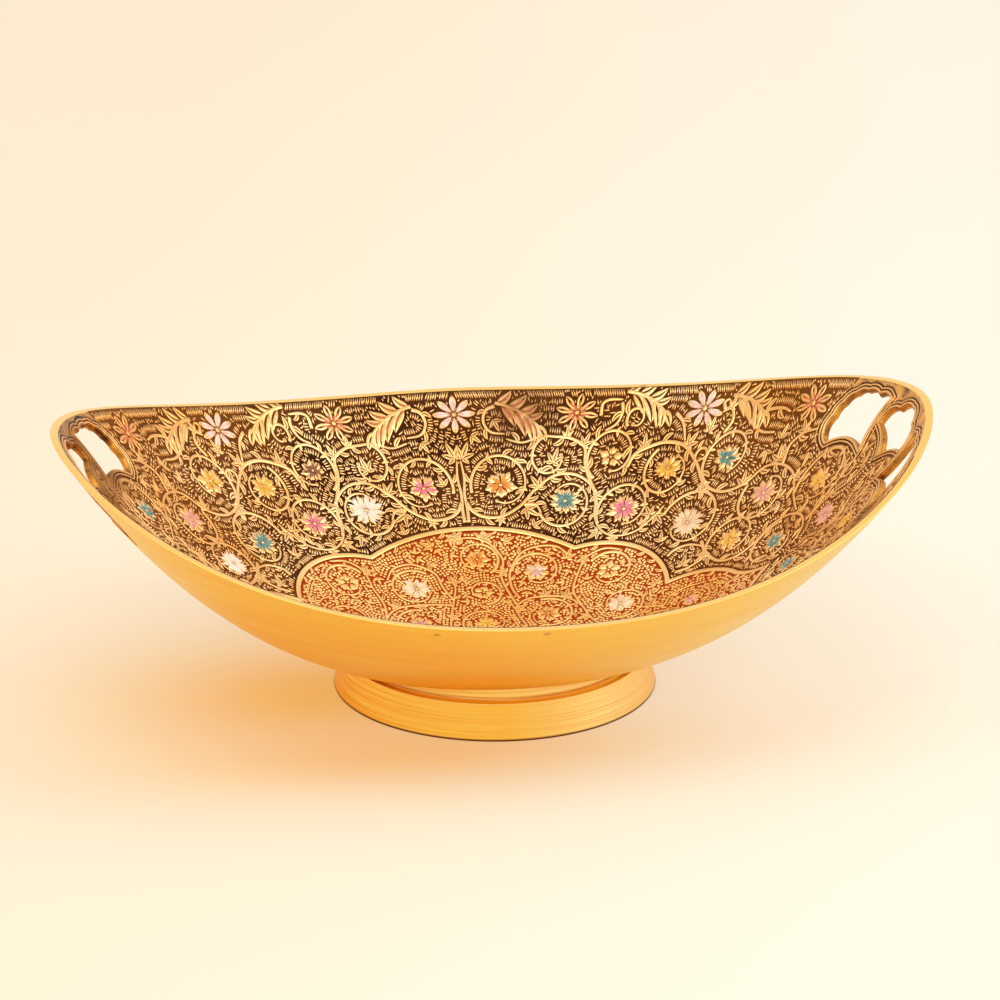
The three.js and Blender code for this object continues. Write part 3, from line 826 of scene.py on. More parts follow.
# Blossoms of the medallion: middle, radius, petals and colour
RED_BLOSSOMS = [
    ((1.5, 57), 4.9, 6, "orange"), ((21.6, 48.6), 5.2, 7, "blush"), ((-22, 42.8), 5.6, 8, "cream"),
    ((46.4, 41.4), 4.8, 6, None), ((-46.4, 41.5), 4.9, 5, None), ((22.4, 25.2), 5.0, 6, "orange"),
    ((47.6, 22.4), 5.6, 8, "cream"), ((-22.6, 22.6), 5.0, 6, "rose"), ((-46.6, 21.6), 5.0, 6, "orange"),
    ((0.4, 22.4), 4.8, 6, "yellow"), ((70, 8.4), 3.8, 6, "rose"), ((-70, 8.4), 3.8, 6, "turquoise"),
    ((1.6, 40.6), 3.8, 5, None), ((12.6, 4.2), 3.6, 5, None), ((35, 4.6), 4.2, 6, "cream"),
    ((57.4, 4.2), 3.6, 5, "orange"), ((-23.4, 8.2), 2.8, 5, "yellow"), ((-46.6, 6.6), 2.8, 5, "rose"),
]

# Sprigs of the medallion: root, heading, size
RED_SPRIGS = [
    (12, 30, 30, 5), (30, 33.4, 70, 5), (33, 52, 60, 5), (11, 50, 165, 5), (36, 20, 190, 4.6),
    (56.6, 15, 60, 5), (-12, 27, 20, 5), (-30, 32, 110, 5), (-35, 20, 10, 5), (-9, 46, 60, 5),
    (-53, 13, 100, 5), (40, 50, 190, 4.4), (-40, 49, 10, 4.4), (23, 35.6, 90, 4.6), (-21, 34, 250, 4.4),
    (61, 26, 100, 5), (-60, 26, 80, 5), (12, 64, 20, 4.4), (-14, 63, 160, 4.8), (23.6, 11, 80, 4.4),
    (46.4, 10, 80, 4.4), (-11, 8, 60, 4.4), (-59, 7, 100, 4.4), (0, 7, 90, 3.4),
]


def red_field():
    """Ornament of the medallion's upper half; a half turn gives the lower one."""
    e = Engraving((-94, -10), (94, 71))
    g = e.ground
    g.block(~within(grow(medallion_outline(), -BORDER / 2 - 0.4), g.x, g.y))
    for points in RED_STEMS:
        e.stem(points, root=0.66, tip=0.44)
    for scroll in RED_SCROLLS:
        e.scroll(*scroll)
    for (x, y), radius, petals, color in RED_BLOSSOMS:
        e.blossom(x, y, radius, petals, color, x * 3, color in FULL_COLORS)
    for sprig in RED_SPRIGS:
        e.sprig(*sprig)
    e.curves.append(evened(grow(medallion_outline(), -BORDER / 2 + 0.55)))
    e.dress(every=6.0, size=3.0)
    e.scatter(tries=900, size=3.6, room=1.9)
    band = g.taken[:, : round(20 / g.cell)]
    band |= band[::-1, ::-1].copy()
    g.block(g.y < 0.25)
    e.pebble_rows(rows=4)
    return e


# Meshes


def make_piece(name, points, faces, material, sharp=None, edge=None):
    """Mesh from points in mm and arrays of faces, one array for each count of corners."""
    mesh = bpy.data.meshes.new(name)
    points = np.asarray(points, float).reshape(-1, 3)
    corners = np.concatenate([np.asarray(f, int).ravel() for f in faces])
    sizes = np.concatenate([np.full(len(f), np.asarray(f).shape[1]) for f in faces])
    mesh.vertices.add(len(points))
    mesh.vertices.foreach_set("co", (points * MM).astype(np.float32).ravel())
    mesh.loops.add(len(corners))
    mesh.loops.foreach_set("vertex_index", corners.astype(np.int32))
    mesh.polygons.add(len(sizes))
    starts = np.concatenate([[0], np.cumsum(sizes)[:-1]])
    mesh.polygons.foreach_set("loop_start", starts.astype(np.int32))
    mesh.polygons.foreach_set("use_smooth", np.ones(len(sizes), bool))
    mesh.update(calc_edges=True)
    mesh.validate()
    if sharp:
        mesh.set_sharp_from_angle(angle=math.radians(sharp))
    # edge: painted shade per point, 1 at the feet of the relief's bars, read by the relief finishes
    if edge is not None:
        mesh.attributes.new("edge", "FLOAT", "POINT").data.foreach_set("value", edge.astype(np.float32))
    if material:
        mesh.materials.append(material)
    piece = bpy.data.objects.new(name, mesh)
    bpy.context.scene.collection.objects.link(piece)
    return piece


def finish_piece(piece, nodes=()):
    """Lets a piece ride on the bowl and stand for its CAD nodes, which it hides."""
    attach(piece, "root")
    if nodes:
        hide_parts(*nodes)


def ring_faces(count, around):
    """Faces of rings of points between two poles: the first point, the rings, the last point."""
    i = np.arange(around)
    after = (i + 1) % around
    last = 1 + count * around
    top = last - around
    start = np.stack([np.zeros_like(i), 1 + after, 1 + i], -1)
    end = np.stack([np.full_like(i, last), top + i, top + after], -1)
    return [1 + ring_quads(count, around), start, end]


def cut(piece, cutter):
    """Takes a cutter out of a piece for good, and removes the cutter."""
    modifier = piece.modifiers.new("cut", "BOOLEAN")
    modifier.operation = "DIFFERENCE"
    modifier.object = cutter
    modifier.solver = "MANIFOLD"
    bpy.context.view_layer.update()
    evaluated = piece.evaluated_get(bpy.context.evaluated_depsgraph_get())
    mesh = bpy.data.meshes.new_from_object(evaluated)
    piece.modifiers.clear()
    piece.data = mesh
    old = cutter.data
    bpy.data.objects.remove(cutter)
    bpy.data.meshes.remove(old)


def cut_openings(piece, margin, ends=(1, -1)):
    """Cuts straight holes through the wall on the openings' outlines, widened by a margin."""
    for end in ends:
        for outline, (middle, level, up, outwards) in openings(end):
            outline = grow(outline, margin)
            count, reach = len(outline), CUT_REACH * outwards
            flat = middle + outline[:, :1] * level + outline[:, 1:] * up
            points = np.concatenate([flat - reach, flat + reach, [middle - reach, middle + reach]])
            i = np.arange(count)
            after = (i + 1) % count
            low = np.stack([np.full(count, 2 * count), after, i], -1)
            high = np.stack([np.full(count, 2 * count + 1), count + i, count + after], -1)
            cut(piece, make_piece("cutter", points, [ring_quads(2, count), low, high], None))


# Shader helpers


class Value:
    """A shader socket that takes part in arithmetic: each operation adds a Math node."""

    def __init__(self, nodes, socket):
        self.nodes, self.socket = nodes, socket

    def maths(self, operation, *others):
        return self.nodes.node("ShaderNodeMath", {"operation": operation}, *others)

    def __add__(self, other):
        return self.maths("ADD", self, other)

    def __sub__(self, other):
        return self.maths("SUBTRACT", self, other)

    def __mul__(self, other):
        return self.maths("MULTIPLY", self, other)

    def __truediv__(self, other):
        return self.maths("DIVIDE", self, other)

    def __pow__(self, other):
        return self.maths("POWER", self, other)

    def __rsub__(self, other):
        return self.maths("SUBTRACT", other, self)

    def __rtruediv__(self, other):
        return self.maths("DIVIDE", other, self)

    __radd__ = __add__
    __rmul__ = __mul__

    def clamp(self, low, high):
        """0 at low, 1 at high, straight between them."""
        return self.nodes.node("ShaderNodeMapRange", None, Value=self, **{"From Min": low, "From Max": high})


class Nodes:
    """A node tree that is built from expressions."""

    def __init__(self, tree):
        self.tree = tree

    def node(self, kind, settings=None, *inputs, **named):
        """Adds a node of a type, with its settings first, then values or links for its sockets."""
        node = self.tree.nodes.new(kind)
        settings = dict(settings or {})
        output = settings.pop("output", 0)
        for key, value in settings.items():
            setattr(node, key, value)
        for socket, value in [*zip(node.inputs, inputs), *((node.inputs[k], v) for k, v in named.items())]:
            self.feed(socket, value)
        return Value(self, node.outputs[output])

    def feed(self, socket, value):
        if isinstance(value, Value):
            self.tree.links.new(value.socket, socket)
        elif isinstance(value, tuple) and len(value) == 3 and socket.type == "RGBA":
            socket.default_value = (*value, 1)
        else:
            socket.default_value = value

    def ray(self, kind):
        return self.node("ShaderNodeLightPath", {"output": f"Is {kind} Ray"})


class Finish(Nodes):
    """A material with a Principled BSDF."""

    def __init__(self, name, **constants):
        self.material = bpy.data.materials.new(name)
        self.material.use_nodes = True
        super().__init__(self.material.node_tree)
        self.shader = self.tree.nodes["Principled BSDF"]
        for key, value in constants.items():
            self.set(key.replace("_", " "), value)
        self.place = self.node("ShaderNodeTexCoord", {"output": "Object"})

    def set(self, name, value):
        self.feed(self.shader.inputs[name], value)

    def noise(self, scale, detail=3.0, stretch=(1, 1, 1)):
        """Noise of a scale per metre, stretched along the axes."""
        place = self.node("ShaderNodeVectorMath", {"operation": "MULTIPLY"}, self.place, stretch)
        return self.node("ShaderNodeTexNoise", None, Vector=place, Scale=scale, Detail=detail, Roughness=0.55)

    def blend(self, amount, first, second):
        """Colour between two colours by an amount."""
        node = self.tree.nodes.new("ShaderNodeMix")
        node.data_type = "RGBA"
        for key, value in (("Factor", amount), (6, first), (7, second)):
            self.feed(node.inputs[key], value)
        return Value(self, node.outputs[2])

    def axis(self, index):
        """One coordinate of the place on the object, in metres."""
        return self.node("ShaderNodeSeparateXYZ", {"output": index}, self.place)

    def along(self):
        """Distance along the bowl from its middle, in metres."""
        return self.node("ShaderNodeMath", {"operation": "ABSOLUTE"}, self.axis(0))

    def away(self, place):
        """Distance from a place on the object, in metres."""
        settings = {"operation": "DISTANCE", "output": "Value"}
        return self.node("ShaderNodeVectorMath", settings, self.place, place)

    def bump(self, height, distance, strength):
        """Roughens the surface by a height, as a share of a distance in metres."""
        bump = self.node("ShaderNodeBump", None, Strength=strength, Distance=distance, Height=height)
        self.set("Normal", bump)


def tone(red, green, blue):
    """Linear colour from 0 to 255 display values."""
    share = np.array([red, green, blue]) / 255
    return tuple(np.where(share <= 0.04045, share / 12.92, ((share + 0.055) / 1.055) ** 2.4).tolist())


# Finishes


def polished_brass():
    """Cast brass, hand polished: faint streaks along the bowl, clouding, small dark marks and a painted
    highlight on the top of the lip.
    """
    f = Finish("polished_brass", Metallic=1.0)
    clouds = f.noise(16, 4)
    streaks = f.noise(60, 3, (0.35, 0.35, 5))
    marks = f.noise(95, 2).clamp(0.74, 0.8)
    color = f.blend(clouds.clamp(0.3, 0.75), tone(255, 207, 72), tone(255, 222, 94))
    color = f.blend(streaks.clamp(0.35, 0.7) * 0.3, color, tone(250, 190, 70))
    lip = (f.along() / (OUTER[0] * MM)) ** SHEER * ((END_RIM - SIDE_RIM) * MM) + SIDE_RIM * MM
    below = lip - f.axis(2)
    # Painted highlight: the top of the lip is paler, within 0.6 mm of the rim's height
    color = f.blend((0.0006 - below).clamp(0, 0.0005), color, tone(255, 208, 116))
    for smudge in OUTER_MARKS:
        marks = marks + (0.0016 - f.away(smudge)).clamp(0, 0.0012)
    f.set("Base Color", f.blend(marks.clamp(0, 1) * 0.55, color, tone(150, 84, 34)))
    f.set("Roughness", streaks * 0.14 + clouds * 0.1 + 0.2)
    f.bump(streaks * 0.6 + clouds, 0.0006, 0.35)
    return f.material


def turned_brass():
    """Turned brass: fine lines round the ring that vary in depth, a neck painted paler, a painted highlight
    at the front and a painted shadow along the bottom edge.
    """
    f = Finish("turned_brass", Metallic=1.0)
    lines = f.noise(900, 2, (0.02, 0.02, 1))
    broad = f.noise(260, 2, (0.02, 0.02, 1))
    clouds = f.noise(24, 3)
    height = f.axis(2)
    color = f.blend(lines.clamp(0.35, 0.65) * 0.5, tone(254, 196, 80), tone(246, 178, 60))
    color = f.blend(broad.clamp(0.58, 0.72) * 0.35, color, tone(216, 150, 54))
    # Painted lightening: the band's top edge and the neck above it are paler, against the dark reflection of
    # the belly in them
    color = f.blend(height.clamp(0.0114, 0.0128), color, tone(255, 214, 120))
    # Painted highlight: a paler spot on the front of the foot, towards the right
    color = f.blend((0.046 - f.away(FOOT_HIGHLIGHT)).clamp(0, 0.034) * 0.8, color, tone(255, 216, 140))
    # Painted shadow: a dark line along the bottom edge, where the ring stands on the floor
    f.set("Base Color", f.blend((0.0011 - height).clamp(0, 0.0006), color, tone(104, 54, 20)))
    f.set("Roughness", lines * 0.12 + clouds * 0.1 + 0.22)
    f.bump(lines + broad * 1.5, 0.0004, 0.5)
    return f.material


def lacquer_finish(name, color, worn, wear_from, wear_to):
    """Satin lacquer that thins to a browner tone towards the ends of the bowl."""
    f = Finish(name, Specular_IOR_Level=0.05)
    clouds = f.noise(38, 4)
    grain = f.noise(900, 2)
    wear = (f.along() + clouds * 0.05 - 0.025).clamp(wear_from, wear_to)
    base = f.blend(clouds.clamp(0.35, 0.7) * 0.35, tone(*color), tone(*worn))
    f.set("Base Color", f.blend(wear, base, tone(*worn)))
    f.set("Roughness", grain * 0.2 + 0.4)
    f.bump(grain, 0.0002, 0.4)
    return f.material


def relief_brass(name, light, deep, rough, brown):
    """Engraved brass: bright on top, browner towards the ends, with painted shade that darkens it along the
    cut edges by the edge attribute.
    """
    f = Finish(name, Metallic=1.0)
    light, deep, brown = tone(*light), tone(*deep), tone(*brown)
    clouds = f.noise(30, 4)
    grain = f.noise(650, 3)
    edge = f.node("ShaderNodeAttribute", {"attribute_name": "edge", "output": "Fac"})
    wear = (f.along() + clouds * 0.06 - 0.03).clamp(0.045, 0.15)
    color = f.blend(clouds.clamp(0.35, 0.68), light, deep)
    color = f.blend(wear * 0.6, color, brown)
    color = f.blend(grain.clamp(0.5, 0.72) * 0.35, color, deep)
    stain = sum((reach - f.away(place)).clamp(0, 0.012) for place, reach in STAINS) * clouds.clamp(0.36, 0.5)
    color = f.blend(stain * 0.75, color, tone(140, 84, 40))
    # Painted shade: darker towards each bar's feet, and a little on the tops of the hatch bars, by the edge
    # attribute
    f.set("Base Color", f.blend(edge * 0.75, color, tone(120, 62, 14)))
    f.set("Roughness", grain * 0.2 + stain * 0.25 + rough)
    f.bump(grain, 0.0003, 0.4)
    return f.material


def worn_brass(name, clean, dull, dark, residue):
    """Filed or cast brass that is left dull, with dark residue in patches above a level of its noise."""
    f = Finish(name, Metallic=1.0)
    patches = f.noise(140, 4)
    grain = f.noise(700, 3)
    color = f.blend(patches.clamp(0.42, 0.6), tone(*clean), tone(*dull))
    f.set("Base Color", f.blend(patches.clamp(residue, residue + 0.1) * 0.8, color, tone(*dark)))
    f.set("Roughness", grain * 0.25 + 0.34)
    f.bump(grain + patches, 0.0003, 0.5)
    return f.material


def paint_finish(name, color, second):
    """Thin opaque paint brushed over the brass, uneven in tone."""
    f = Finish(f"paint_{name}")
    patches = f.noise(420, 3)
    f.set("Base Color", f.blend(patches.clamp(0.35, 0.68), tone(*color), tone(*second)))
    f.set("Roughness", patches * 0.2 + 0.3)
    f.bump(patches, 0.0003, 0.5)
    return f.material


# Pieces


def bowl_casting(material):
    """Casting as rings: the outer face from its middle to the rim, the eased lip, the inner face back."""
    around, rings = 360, 44
    angle = 2 * np.pi * np.arange(around) / around
    outer = [on_face(OUTER, *rim_plan(OUTER, angle, reach), 0) for reach in np.linspace(0, 1, rings + 1)[1:]]
    inner = [on_face(INNER, *rim_plan(INNER, angle, reach), 0) for reach in np.linspace(1, 0, rings + 1)[:-1]]
    rim = outer.pop()
    size = np.hypot(rim[:, 0], rim[:, 1])
    lip = [(0.9, 1), (0.254, 1), (0.213, 0.84), (0.221, 0.425), (0.276, 0.094), (0.36, 0), (0.9, 0)]
    eased = []
    for inwards, share in lip:
        x, y = rim[:, :2].T * (1 - inwards / size)
        eased.append(np.stack([x, y, rim[:, 2] + (height_of(OUTER, x, y) - rim[:, 2]) * share], -1))
    size = np.hypot(inner[0][:, 0], inner[0][:, 1])[:, None]
    eased.append(inner[0] * (1 + 0.4 / size * (1, 1, 0)))
    inner[0] = on_face(INNER, *rim_plan(INNER, angle, 1 - 0.25 / INNER[1]), 0)
    points = np.concatenate([[[0, 0, OUTER[2]]], *outer, *eased, *inner, [[0, 0, INNER[2]]]])
    count = len(outer) + len(eased) + len(inner)
    piece = make_piece("bowl_casting", points, ring_faces(count, around), material)
    cut_openings(piece, 0.0)
    piece.data.set_sharp_from_angle(angle=math.radians(42))
    finish_piece(piece, ["bowl_shell"])


def foot_ring_turned(material):
    """Section turned round the axis, kept under the belly by 0.03 mm and a little more lower down."""
    radius, height = np.array(FOOT_OUTSIDE + FOOT_EDGE + FOOT_GROOVE + FOOT_NECK + FOOT_HOLLOW).T[..., None]
    around = 256
    angle = 2 * np.pi * np.arange(around) / around
    x, y = radius * np.cos(angle), radius * np.sin(angle)
    z = np.minimum(height, height_of(OUTER, x, y) - 0.03 - 0.003 * (18 - height))
    faces = [ring_quads(len(radius), around, closed=True)]
    piece = make_piece("foot_ring_turned", np.stack([x, y, z], -1), faces, material, 35)
    finish_piece(piece, ["foot_ring"])


def black_skin(material):
    """Face of the black filling: from the medallion's border to the margin under the lip, openings cut."""
    inner = grow(medallion_outline(), BORDER / 2 - 0.2)
    edge = inner * ((1 - SKIN_MARGIN / INNER[1]) / reach_of(INNER, inner[:, 0], inner[:, 1]))[:, None]
    rings = 56
    plan = inner + (edge - inner) * np.linspace(0, 1, rings)[:, None, None]
    top = on_face(INNER, plan[..., 0], plan[..., 1], SKIN)
    low = on_face(INNER, plan[::-1, :, 0], plan[::-1, :, 1], UNDER)
    faces = [ring_quads(2 * rings, len(inner), closed=True)[:, ::-1]]
    piece = make_piece("black_lacquer_skin", np.concatenate([low, top]), faces, material)
    cut_openings(piece, RIM_OF_OPENING)
    x, y, z = np.meshgrid((110, 160), (-PANEL[0], PANEL[0]), (PANEL[1], 110), indexing="ij")
    corners = np.stack([x.ravel(), y.ravel(), z.ravel()], -1)
    box = np.array([[0, 1, 3, 2], [4, 6, 7, 5], [0, 4, 5, 1], [2, 3, 7, 6], [0, 2, 6, 4], [1, 5, 7, 3]])
    for end in ENDS.values():
        cut(piece, make_piece("cutter", corners * (end, 1, 1), [box[:, ::end]], None))
    finish_piece(piece, ["black_lacquer_field"])


def red_skin(material):
    """Face of the red filling: its outline in ever larger copies from the middle."""
    outline = grow(medallion_outline(), -BORDER / 2 + 0.2)
    rings = 44
    plan = outline * np.linspace(0, 1, rings + 1)[1:, None, None]
    top = on_face(INNER, plan[..., 0], plan[..., 1], SKIN).reshape(-1, 3)
    low = on_face(INNER, plan[::-1, :, 0], plan[::-1, :, 1], UNDER).reshape(-1, 3)
    points = np.concatenate([[[0, 0, INNER[2] + SKIN]], top, low, [[0, 0, INNER[2] + UNDER]]])
    faces = [face[:, ::-1] for face in ring_faces(2 * rings, len(outline))]
    piece = make_piece("red_lacquer_skin", points, faces, material)
    finish_piece(piece, ["red_lacquer_medallion"])


def opening_linings(material):
    """Rounded cut edge of each opening: a section of seven points between the faces, carried round it."""
    section = [(0.6, 0.03), (0.05, 0.0), (-0.28, 0.16), (-0.34, 0.5), (-0.28, 0.84), (0.05, 1.0), (0.6, 0.97)]
    for side, end in ENDS.items():
        for (outline, frame_of), place in zip(openings(end), ("middle", "back", "front")):
            rings = []
            for offset, depth in section:
                grown = grow(outline, offset)
                near, far = (opening_on_face(grown, frame_of, face) for face in (INNER, OUTER))
                rings.append(near + (far - near) * depth)
            faces = [ring_quads(len(section), len(outline), closed=True)[:, ::-1]]
            piece = make_piece(f"opening_edge_{side}_{place}", np.stack(rings), faces, material, 60)
            finish_piece(piece)


def relief_piece(name, placed, material, nodes=()):
    """One mesh from several placed reliefs, lifted off the bowl's inner face and kept inside the lip."""
    offsets = np.cumsum([0] + [len(part[0]) for part in placed[:-1]])
    points, lifts, edges = (np.concatenate([part[k] for part in placed]) for k in range(3))
    points *= np.minimum(1, (1 - 0.4 / INNER[1]) / reach_of(INNER, points[:, 0], points[:, 1]))[:, None]
    quads = np.concatenate([part[3] + offset for part, offset in zip(placed, offsets)])
    solid = on_face(INNER, points[:, 0], points[:, 1], lifts)
    finish_piece(make_piece(name, solid, [quads], material, None, edges), nodes)


def borders(material, groove):
    """Bead round the medallion, and two beads with a dark groove round each opening."""
    bead = Relief()
    bead.rings([grow(medallion_outline(), BORDER / 2 * share) for share in (-1, -0.6, 0.6, 1)], 0.34)
    relief_piece("medallion_border", [bead.placed()], material)
    rim = RIM_OF_OPENING
    for side, end in ENDS.items():
        bands, lines = Relief(), Relief()
        for outline, frame_of in openings(end):
            for relief, top, offsets in (
                (bands, 0.42, (0.0, 0.35, 1.0, 1.4)),
                (bands, 0.34, (1.55, 1.8, rim - 0.25, rim + 0.1)),
                (lines, 0.1, (1.2, 1.35, 1.6, 1.75)),
                (lines, 0.1, (rim, rim + 0.1, rim + 0.5, rim + 0.6)),
                (bands, 0.16, (3.5, 3.6, 3.9, 4.0)),
            ):
                around = [opening_on_face(grow(outline, offset), frame_of, INNER) for offset in offsets]
                relief.rings([ring[::-1, :2] for ring in around], top)
        relief_piece(f"handle_border_{side}", [bands.placed()], material)
        relief_piece(f"handle_groove_{side}", [lines.placed()], groove)


def handle_plate(side, material):
    """Thin skin on the bare part of a handle's inner face: a grid of spans, closed round its edge."""
    across, rows, end = 120, 24, ENDS[side]
    widest = lip_angle(PANEL[0] + 1.5)
    angle = np.linspace(-widest, widest, across + 1) + (math.pi if end < 0 else 0)
    reach = np.linspace(0.86, 1 - 0.3 / INNER[1], rows + 1)
    x, y = rim_plan(INNER, angle[None], reach[:, None])
    points = np.concatenate([on_face(INNER, x, y, lift).reshape(-1, 3) for lift in (UNDER, 0.04)])
    grid = np.arange((rows + 1) * (across + 1)).reshape(rows + 1, across + 1)
    low = np.stack([grid[:-1, :-1], grid[:-1, 1:], grid[1:, 1:], grid[1:, :-1]], -1).reshape(-1, 4)
    edge = np.concatenate([grid[0], grid[1:, -1], grid[-1, -2::-1], grid[-2:0:-1, 0]])
    after = np.roll(edge, -1)
    walls = np.stack([edge, edge + grid.size, after + grid.size, after], -1)
    faces = np.concatenate([low, low[:, ::-1] + grid.size, walls])
    piece = make_piece(f"handle_plate_{side}", points, [faces], material)
    cut_openings(piece, 0.1, [end])
    finish_piece(piece)


def wall_ornament(material, paints, colored):
    """Four quarters of the wall's relief and the paint of its rim flowers; its other paints go to colored."""
    fields = {side: black_field(side) for side in ENDS}
    for side, flip in ENDS.items():
        field, flowers = fields[side]
        for depth, turn in (("back", 1), ("front", -1)):
            relief_piece(f"wall_relief_{side}_{depth}", [field.brass.placed(flip, turn)], material)
            for name, relief in field.paints.items():
                colored[name].append(relief.placed(flip, turn))
            for step, paint in enumerate(flowers):
                if step == 0 and side == "left":
                    continue
                order = 4 - step * flip if turn > 0 else 11 + step * flip
                name = "red" if step % 2 else "blush"
                placed = [paint.placed(flip, turn)]
                nodes = [f"rim_flower_{order:02d}"]
                relief_piece(f"rim_flower_paint_{order:02d}", placed, paints[name], nodes)


def medallion_ornament(material, colored):
    """Two halves of the medallion's relief; its paints go to colored."""
    medallion = red_field()
    for half, turn in (("back", 1), ("front", -1)):
        relief_piece(f"medallion_relief_{half}", [medallion.brass.placed(turn, turn)], material)
        for name, relief in medallion.paints.items():
            colored[name].append(relief.placed(turn, turn))


def axis_flowers(material, colored):
    """Flowers on the bowl's two axes: the middle one under each rim and one at each end."""
    rim, end = Engraving((0, 0), (1, 1)), Engraving((0, 0), (1, 1))
    rim_flower(rim, Relief(), rim_flower_middle(0), blush=True, turn=0)
    end.blossom(*END_FLOWER, "rose", turn=22.5, full=True)
    both = [rim.brass.placed(1, turn) for turn in (1, -1)]
    both += [end.brass.placed(flip, 1) for flip in (1, -1)]
    relief_piece("axis_flowers", both, material)
    colored["rose"] += [end.paints["rose"].placed(flip, 1) for flip in (1, -1)]


# Room


def photo_camera(elevation=22.28, yaw=7.87, focal=4334.12, distance=1.5, origin=(494.74, 678.92)):
    """Camera as the photo was taken: its direction, focal length in pixels, and the origin on its pixel."""
    elevation, yaw = math.radians(elevation), math.radians(yaw)
    level = math.cos(elevation)
    ahead = np.array([level * math.sin(yaw), level * math.cos(yaw), -math.sin(elevation)])
    right = np.array([math.cos(yaw), -math.sin(yaw), 0])
    above = np.cross(right, ahead)
    pixels, sensor = 1000, 36
    pan, pitch = (math.atan2(pixel - pixels / 2, focal) for pixel in origin)
    tilted = ahead * math.cos(pitch) + above * math.sin(pitch)
    above = above * math.cos(pitch) - ahead * math.sin(pitch)
    panned = tilted * math.cos(pan) - right * math.sin(pan)
    right = right * math.cos(pan) + tilted * math.sin(pan)
    camera = bpy.data.objects.new("camera", bpy.data.cameras.new("camera"))
    camera.data.sensor_width, camera.data.lens = sensor, focal * sensor / pixels
    place = np.column_stack([right, above, -panned, -distance * ahead])
    camera.matrix_world = Matrix([[*map(float, row)] for row in np.vstack([place, [0, 0, 0, 1]])])
    bpy.context.scene.collection.objects.link(camera)
    bpy.context.scene.camera = camera


def floor_paper():
    """Pale paper, painted darker and warmer towards the left and the back as shade, with the warm light that
    the brass throws on it painted as two spots that fall as 1 / (1 + d^2)^2.
    """
    f = Finish("floor_paper", Roughness=0.9, Specular_IOR_Level=0.0)
    x, y = f.axis(0), f.axis(1)

    def warmth(middle_x, middle_y, reach_x, reach_y):
        return 1 / (((x - middle_x) / reach_x) ** 2.0 + ((y - middle_y) / reach_y) ** 2.0 + 1) ** 2.0

    # Painted shade: the paper is darker and warmer towards the left and the back
    color = f.blend((x * 1.6 - y * 0.35 + 0.5).clamp(0.15, 0.75), tone(254, 236, 208), tone(254, 245, 228))
    # Painted reflection: the warm light of the brass on the paper, in two spots
    color = f.blend(warmth(-0.062, -0.005, 0.098, 0.075).clamp(0, 1.05), color, tone(252, 190, 100))
    color = f.blend(warmth(-0.03, -0.062, 0.11, 0.035) * 0.6, color, tone(252, 184, 82))
    f.set("Base Color", color)
    # The paper glows with its own colour for camera, glossy and transmission rays, at a share of 0.68, which
    # pales the bowl's shadow on it
    pale = f.node("ShaderNodeEmission", None, Color=color, Strength=1.0)
    share = (f.ray("Camera") + f.ray("Glossy") + f.ray("Transmission")).clamp(0, 1) * 0.68
    mixed = f.node("ShaderNodeMixShader", None, share, Value(f, f.shader.outputs[0]), pale)
    f.feed(f.tree.nodes["Material Output"].inputs["Surface"], mixed)
    return f.material


def lay_floor(size=4):
    """Square of paper under the bowl that reaches a size in metres to every side."""
    mesh = bpy.data.meshes.new("floor")
    corners = [(-size, -size, 0), (size, -size, 0), (size, size, 0), (-size, size, 0)]
    mesh.from_pydata(corners, [], [(0, 1, 2, 3)])
    mesh.materials.append(floor_paper())
    floor = bpy.data.objects.new("floor", mesh)
    bpy.context.scene.collection.objects.link(floor)


def even_room():
    """World of an even light, white in reflections, with a plain backdrop for the camera."""
    world = bpy.data.worlds.new("room")
    bpy.context.scene.world = world
    world.use_nodes = True
    room = Nodes(world.node_tree)
    light = room.tree.nodes["Background"]
    room.feed(light.inputs["Color"], tone(255, 250, 243))
    level = room.node("ShaderNodeMapRange", None, Value=room.ray("Glossy"), **{"To Min": 0.8, "To Max": 1.0})
    room.feed(light.inputs["Strength"], level)
    backdrop = room.node("ShaderNodeBackground", None, tone(250, 232, 204))
    lit = Value(room, light.outputs[0])
    mixed = room.node("ShaderNodeMixShader", None, room.ray("Camera"), lit, backdrop)
    room.feed(room.tree.nodes["World Output"].inputs["Surface"], mixed)


def lamp(name, place, size, power, color=(1, 0.99, 0.97)):
    """Square lamp that faces the bowl."""
    light = bpy.data.lights.new(name, "AREA")
    light.size, light.energy, light.color = size, power, color
    piece = bpy.data.objects.new(name, light)
    piece.location = place
    piece.rotation_euler = (Vector((0, 0, 0.05)) - Vector(place)).to_track_quat("-Z", "Y").to_euler()
    bpy.context.scene.collection.objects.link(piece)


# Build

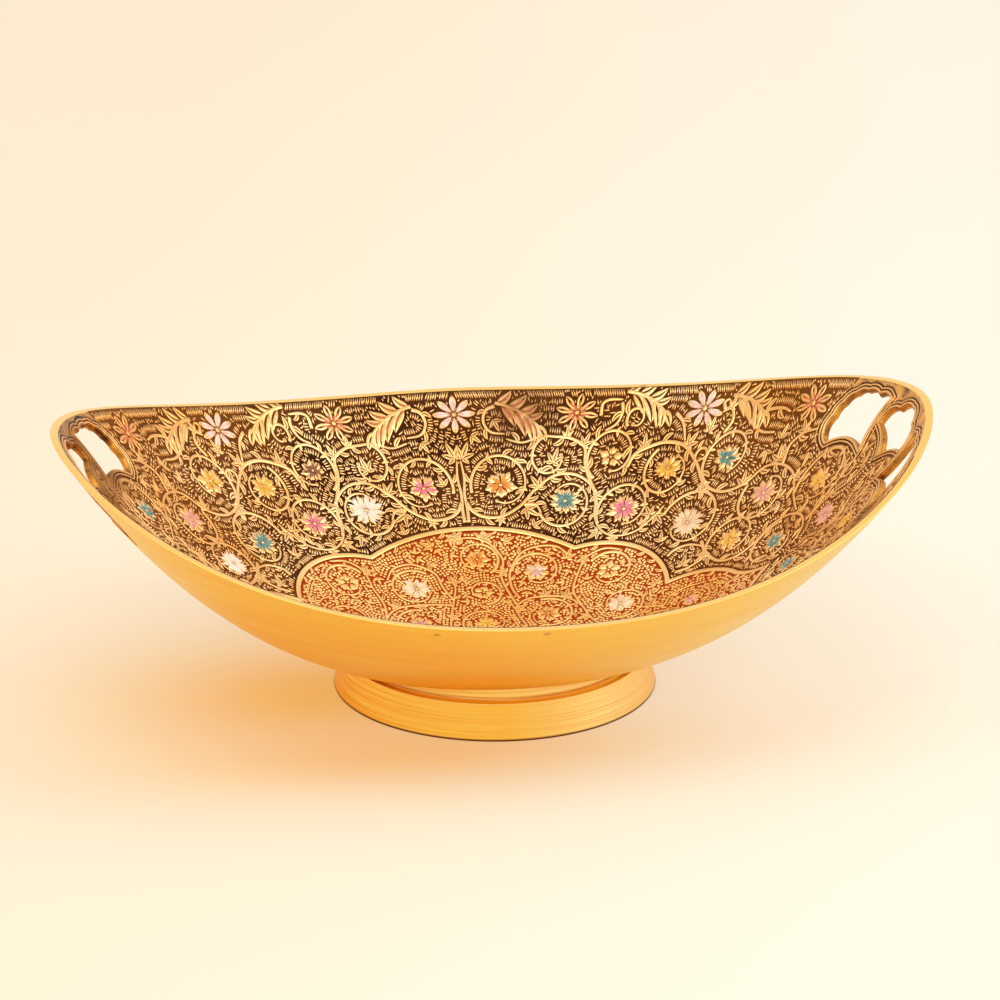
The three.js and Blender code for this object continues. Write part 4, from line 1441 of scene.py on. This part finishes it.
# Paints, each as two tones from 0 to 255
PAINTS = {
    "orange": ((240, 156, 50), (214, 114, 24)), "turquoise": ((112, 160, 148), (70, 124, 116)),
    "pink": ((238, 146, 150), (220, 104, 122)), "white": ((252, 238, 220), (244, 214, 184)),
    "yellow": ((250, 200, 72), (226, 156, 40)), "blush": ((250, 222, 206), (238, 182, 164)),
    "rose": ((238, 176, 152), (222, 132, 118)), "brown": ((150, 92, 50), (116, 66, 32)),
    "red": ((222, 104, 62), (196, 66, 40)), "cream": ((246, 222, 184), (232, 188, 142)),
    "rust": ((196, 108, 60), (160, 78, 40)),
}
engraved = relief_brass("engraved_brass", (255, 216, 156), (238, 174, 96), 0.2, (236, 168, 86))
border_brass = relief_brass("border_brass", (255, 216, 148), (244, 186, 108), 0.22, (226, 158, 84))
medallion_brass = relief_brass("medallion_brass", (255, 215, 143), (244, 183, 98), 0.24, (232, 164, 86))
cut_edges = worn_brass("worn_brass", (214, 150, 66), (150, 92, 44), (74, 44, 28), 0.6)
handle_brass = worn_brass("handle_brass", (236, 176, 88), (184, 124, 62), (100, 62, 38), 0.55)
# A darker copy of the handle brass for the left plate: partly patina, partly painted shade
aged_and_shaded_brass = worn_brass("aged_and_shaded_brass", (196, 140, 84), (140, 94, 58), (80, 52, 36), 0.5)
patina = worn_brass("dark_patina", (96, 60, 34), (70, 42, 26), (48, 30, 22), 0.6)
paints = {name: paint_finish(name, *tones) for name, tones in PAINTS.items()}
colored = {name: [] for name in PAINTS}

bowl_casting(polished_brass())
foot_ring_turned(turned_brass())
black_skin(lacquer_finish("black_lacquer", (50, 22, 2), (140, 80, 22), wear_from=0.05, wear_to=0.175))
red_skin(lacquer_finish("red_lacquer", (164, 54, 8), (146, 60, 10), wear_from=0.09, wear_to=0.16))
opening_linings(cut_edges)
borders(border_brass, patina)
handle_plate("right", handle_brass)
handle_plate("left", aged_and_shaded_brass)
wall_ornament(engraved, paints, colored)
medallion_ornament(medallion_brass, colored)
axis_flowers(engraved, colored)
for name, placed in colored.items():
    if placed:
        relief_piece(f"flower_paint_{name}", placed, paints[name])

photo_camera()
bpy.context.scene.view_settings.view_transform = "Standard"
lay_floor()
even_room()
lamp("top", (-0.04, -0.42, 1.1), size=0.42, power=1.9)
lamp("key", (-0.9, -0.7, 1.5), size=1.2, power=9.0)
lamp("fill", (1.2, -0.3, 1.0), size=1.2, power=8.0)
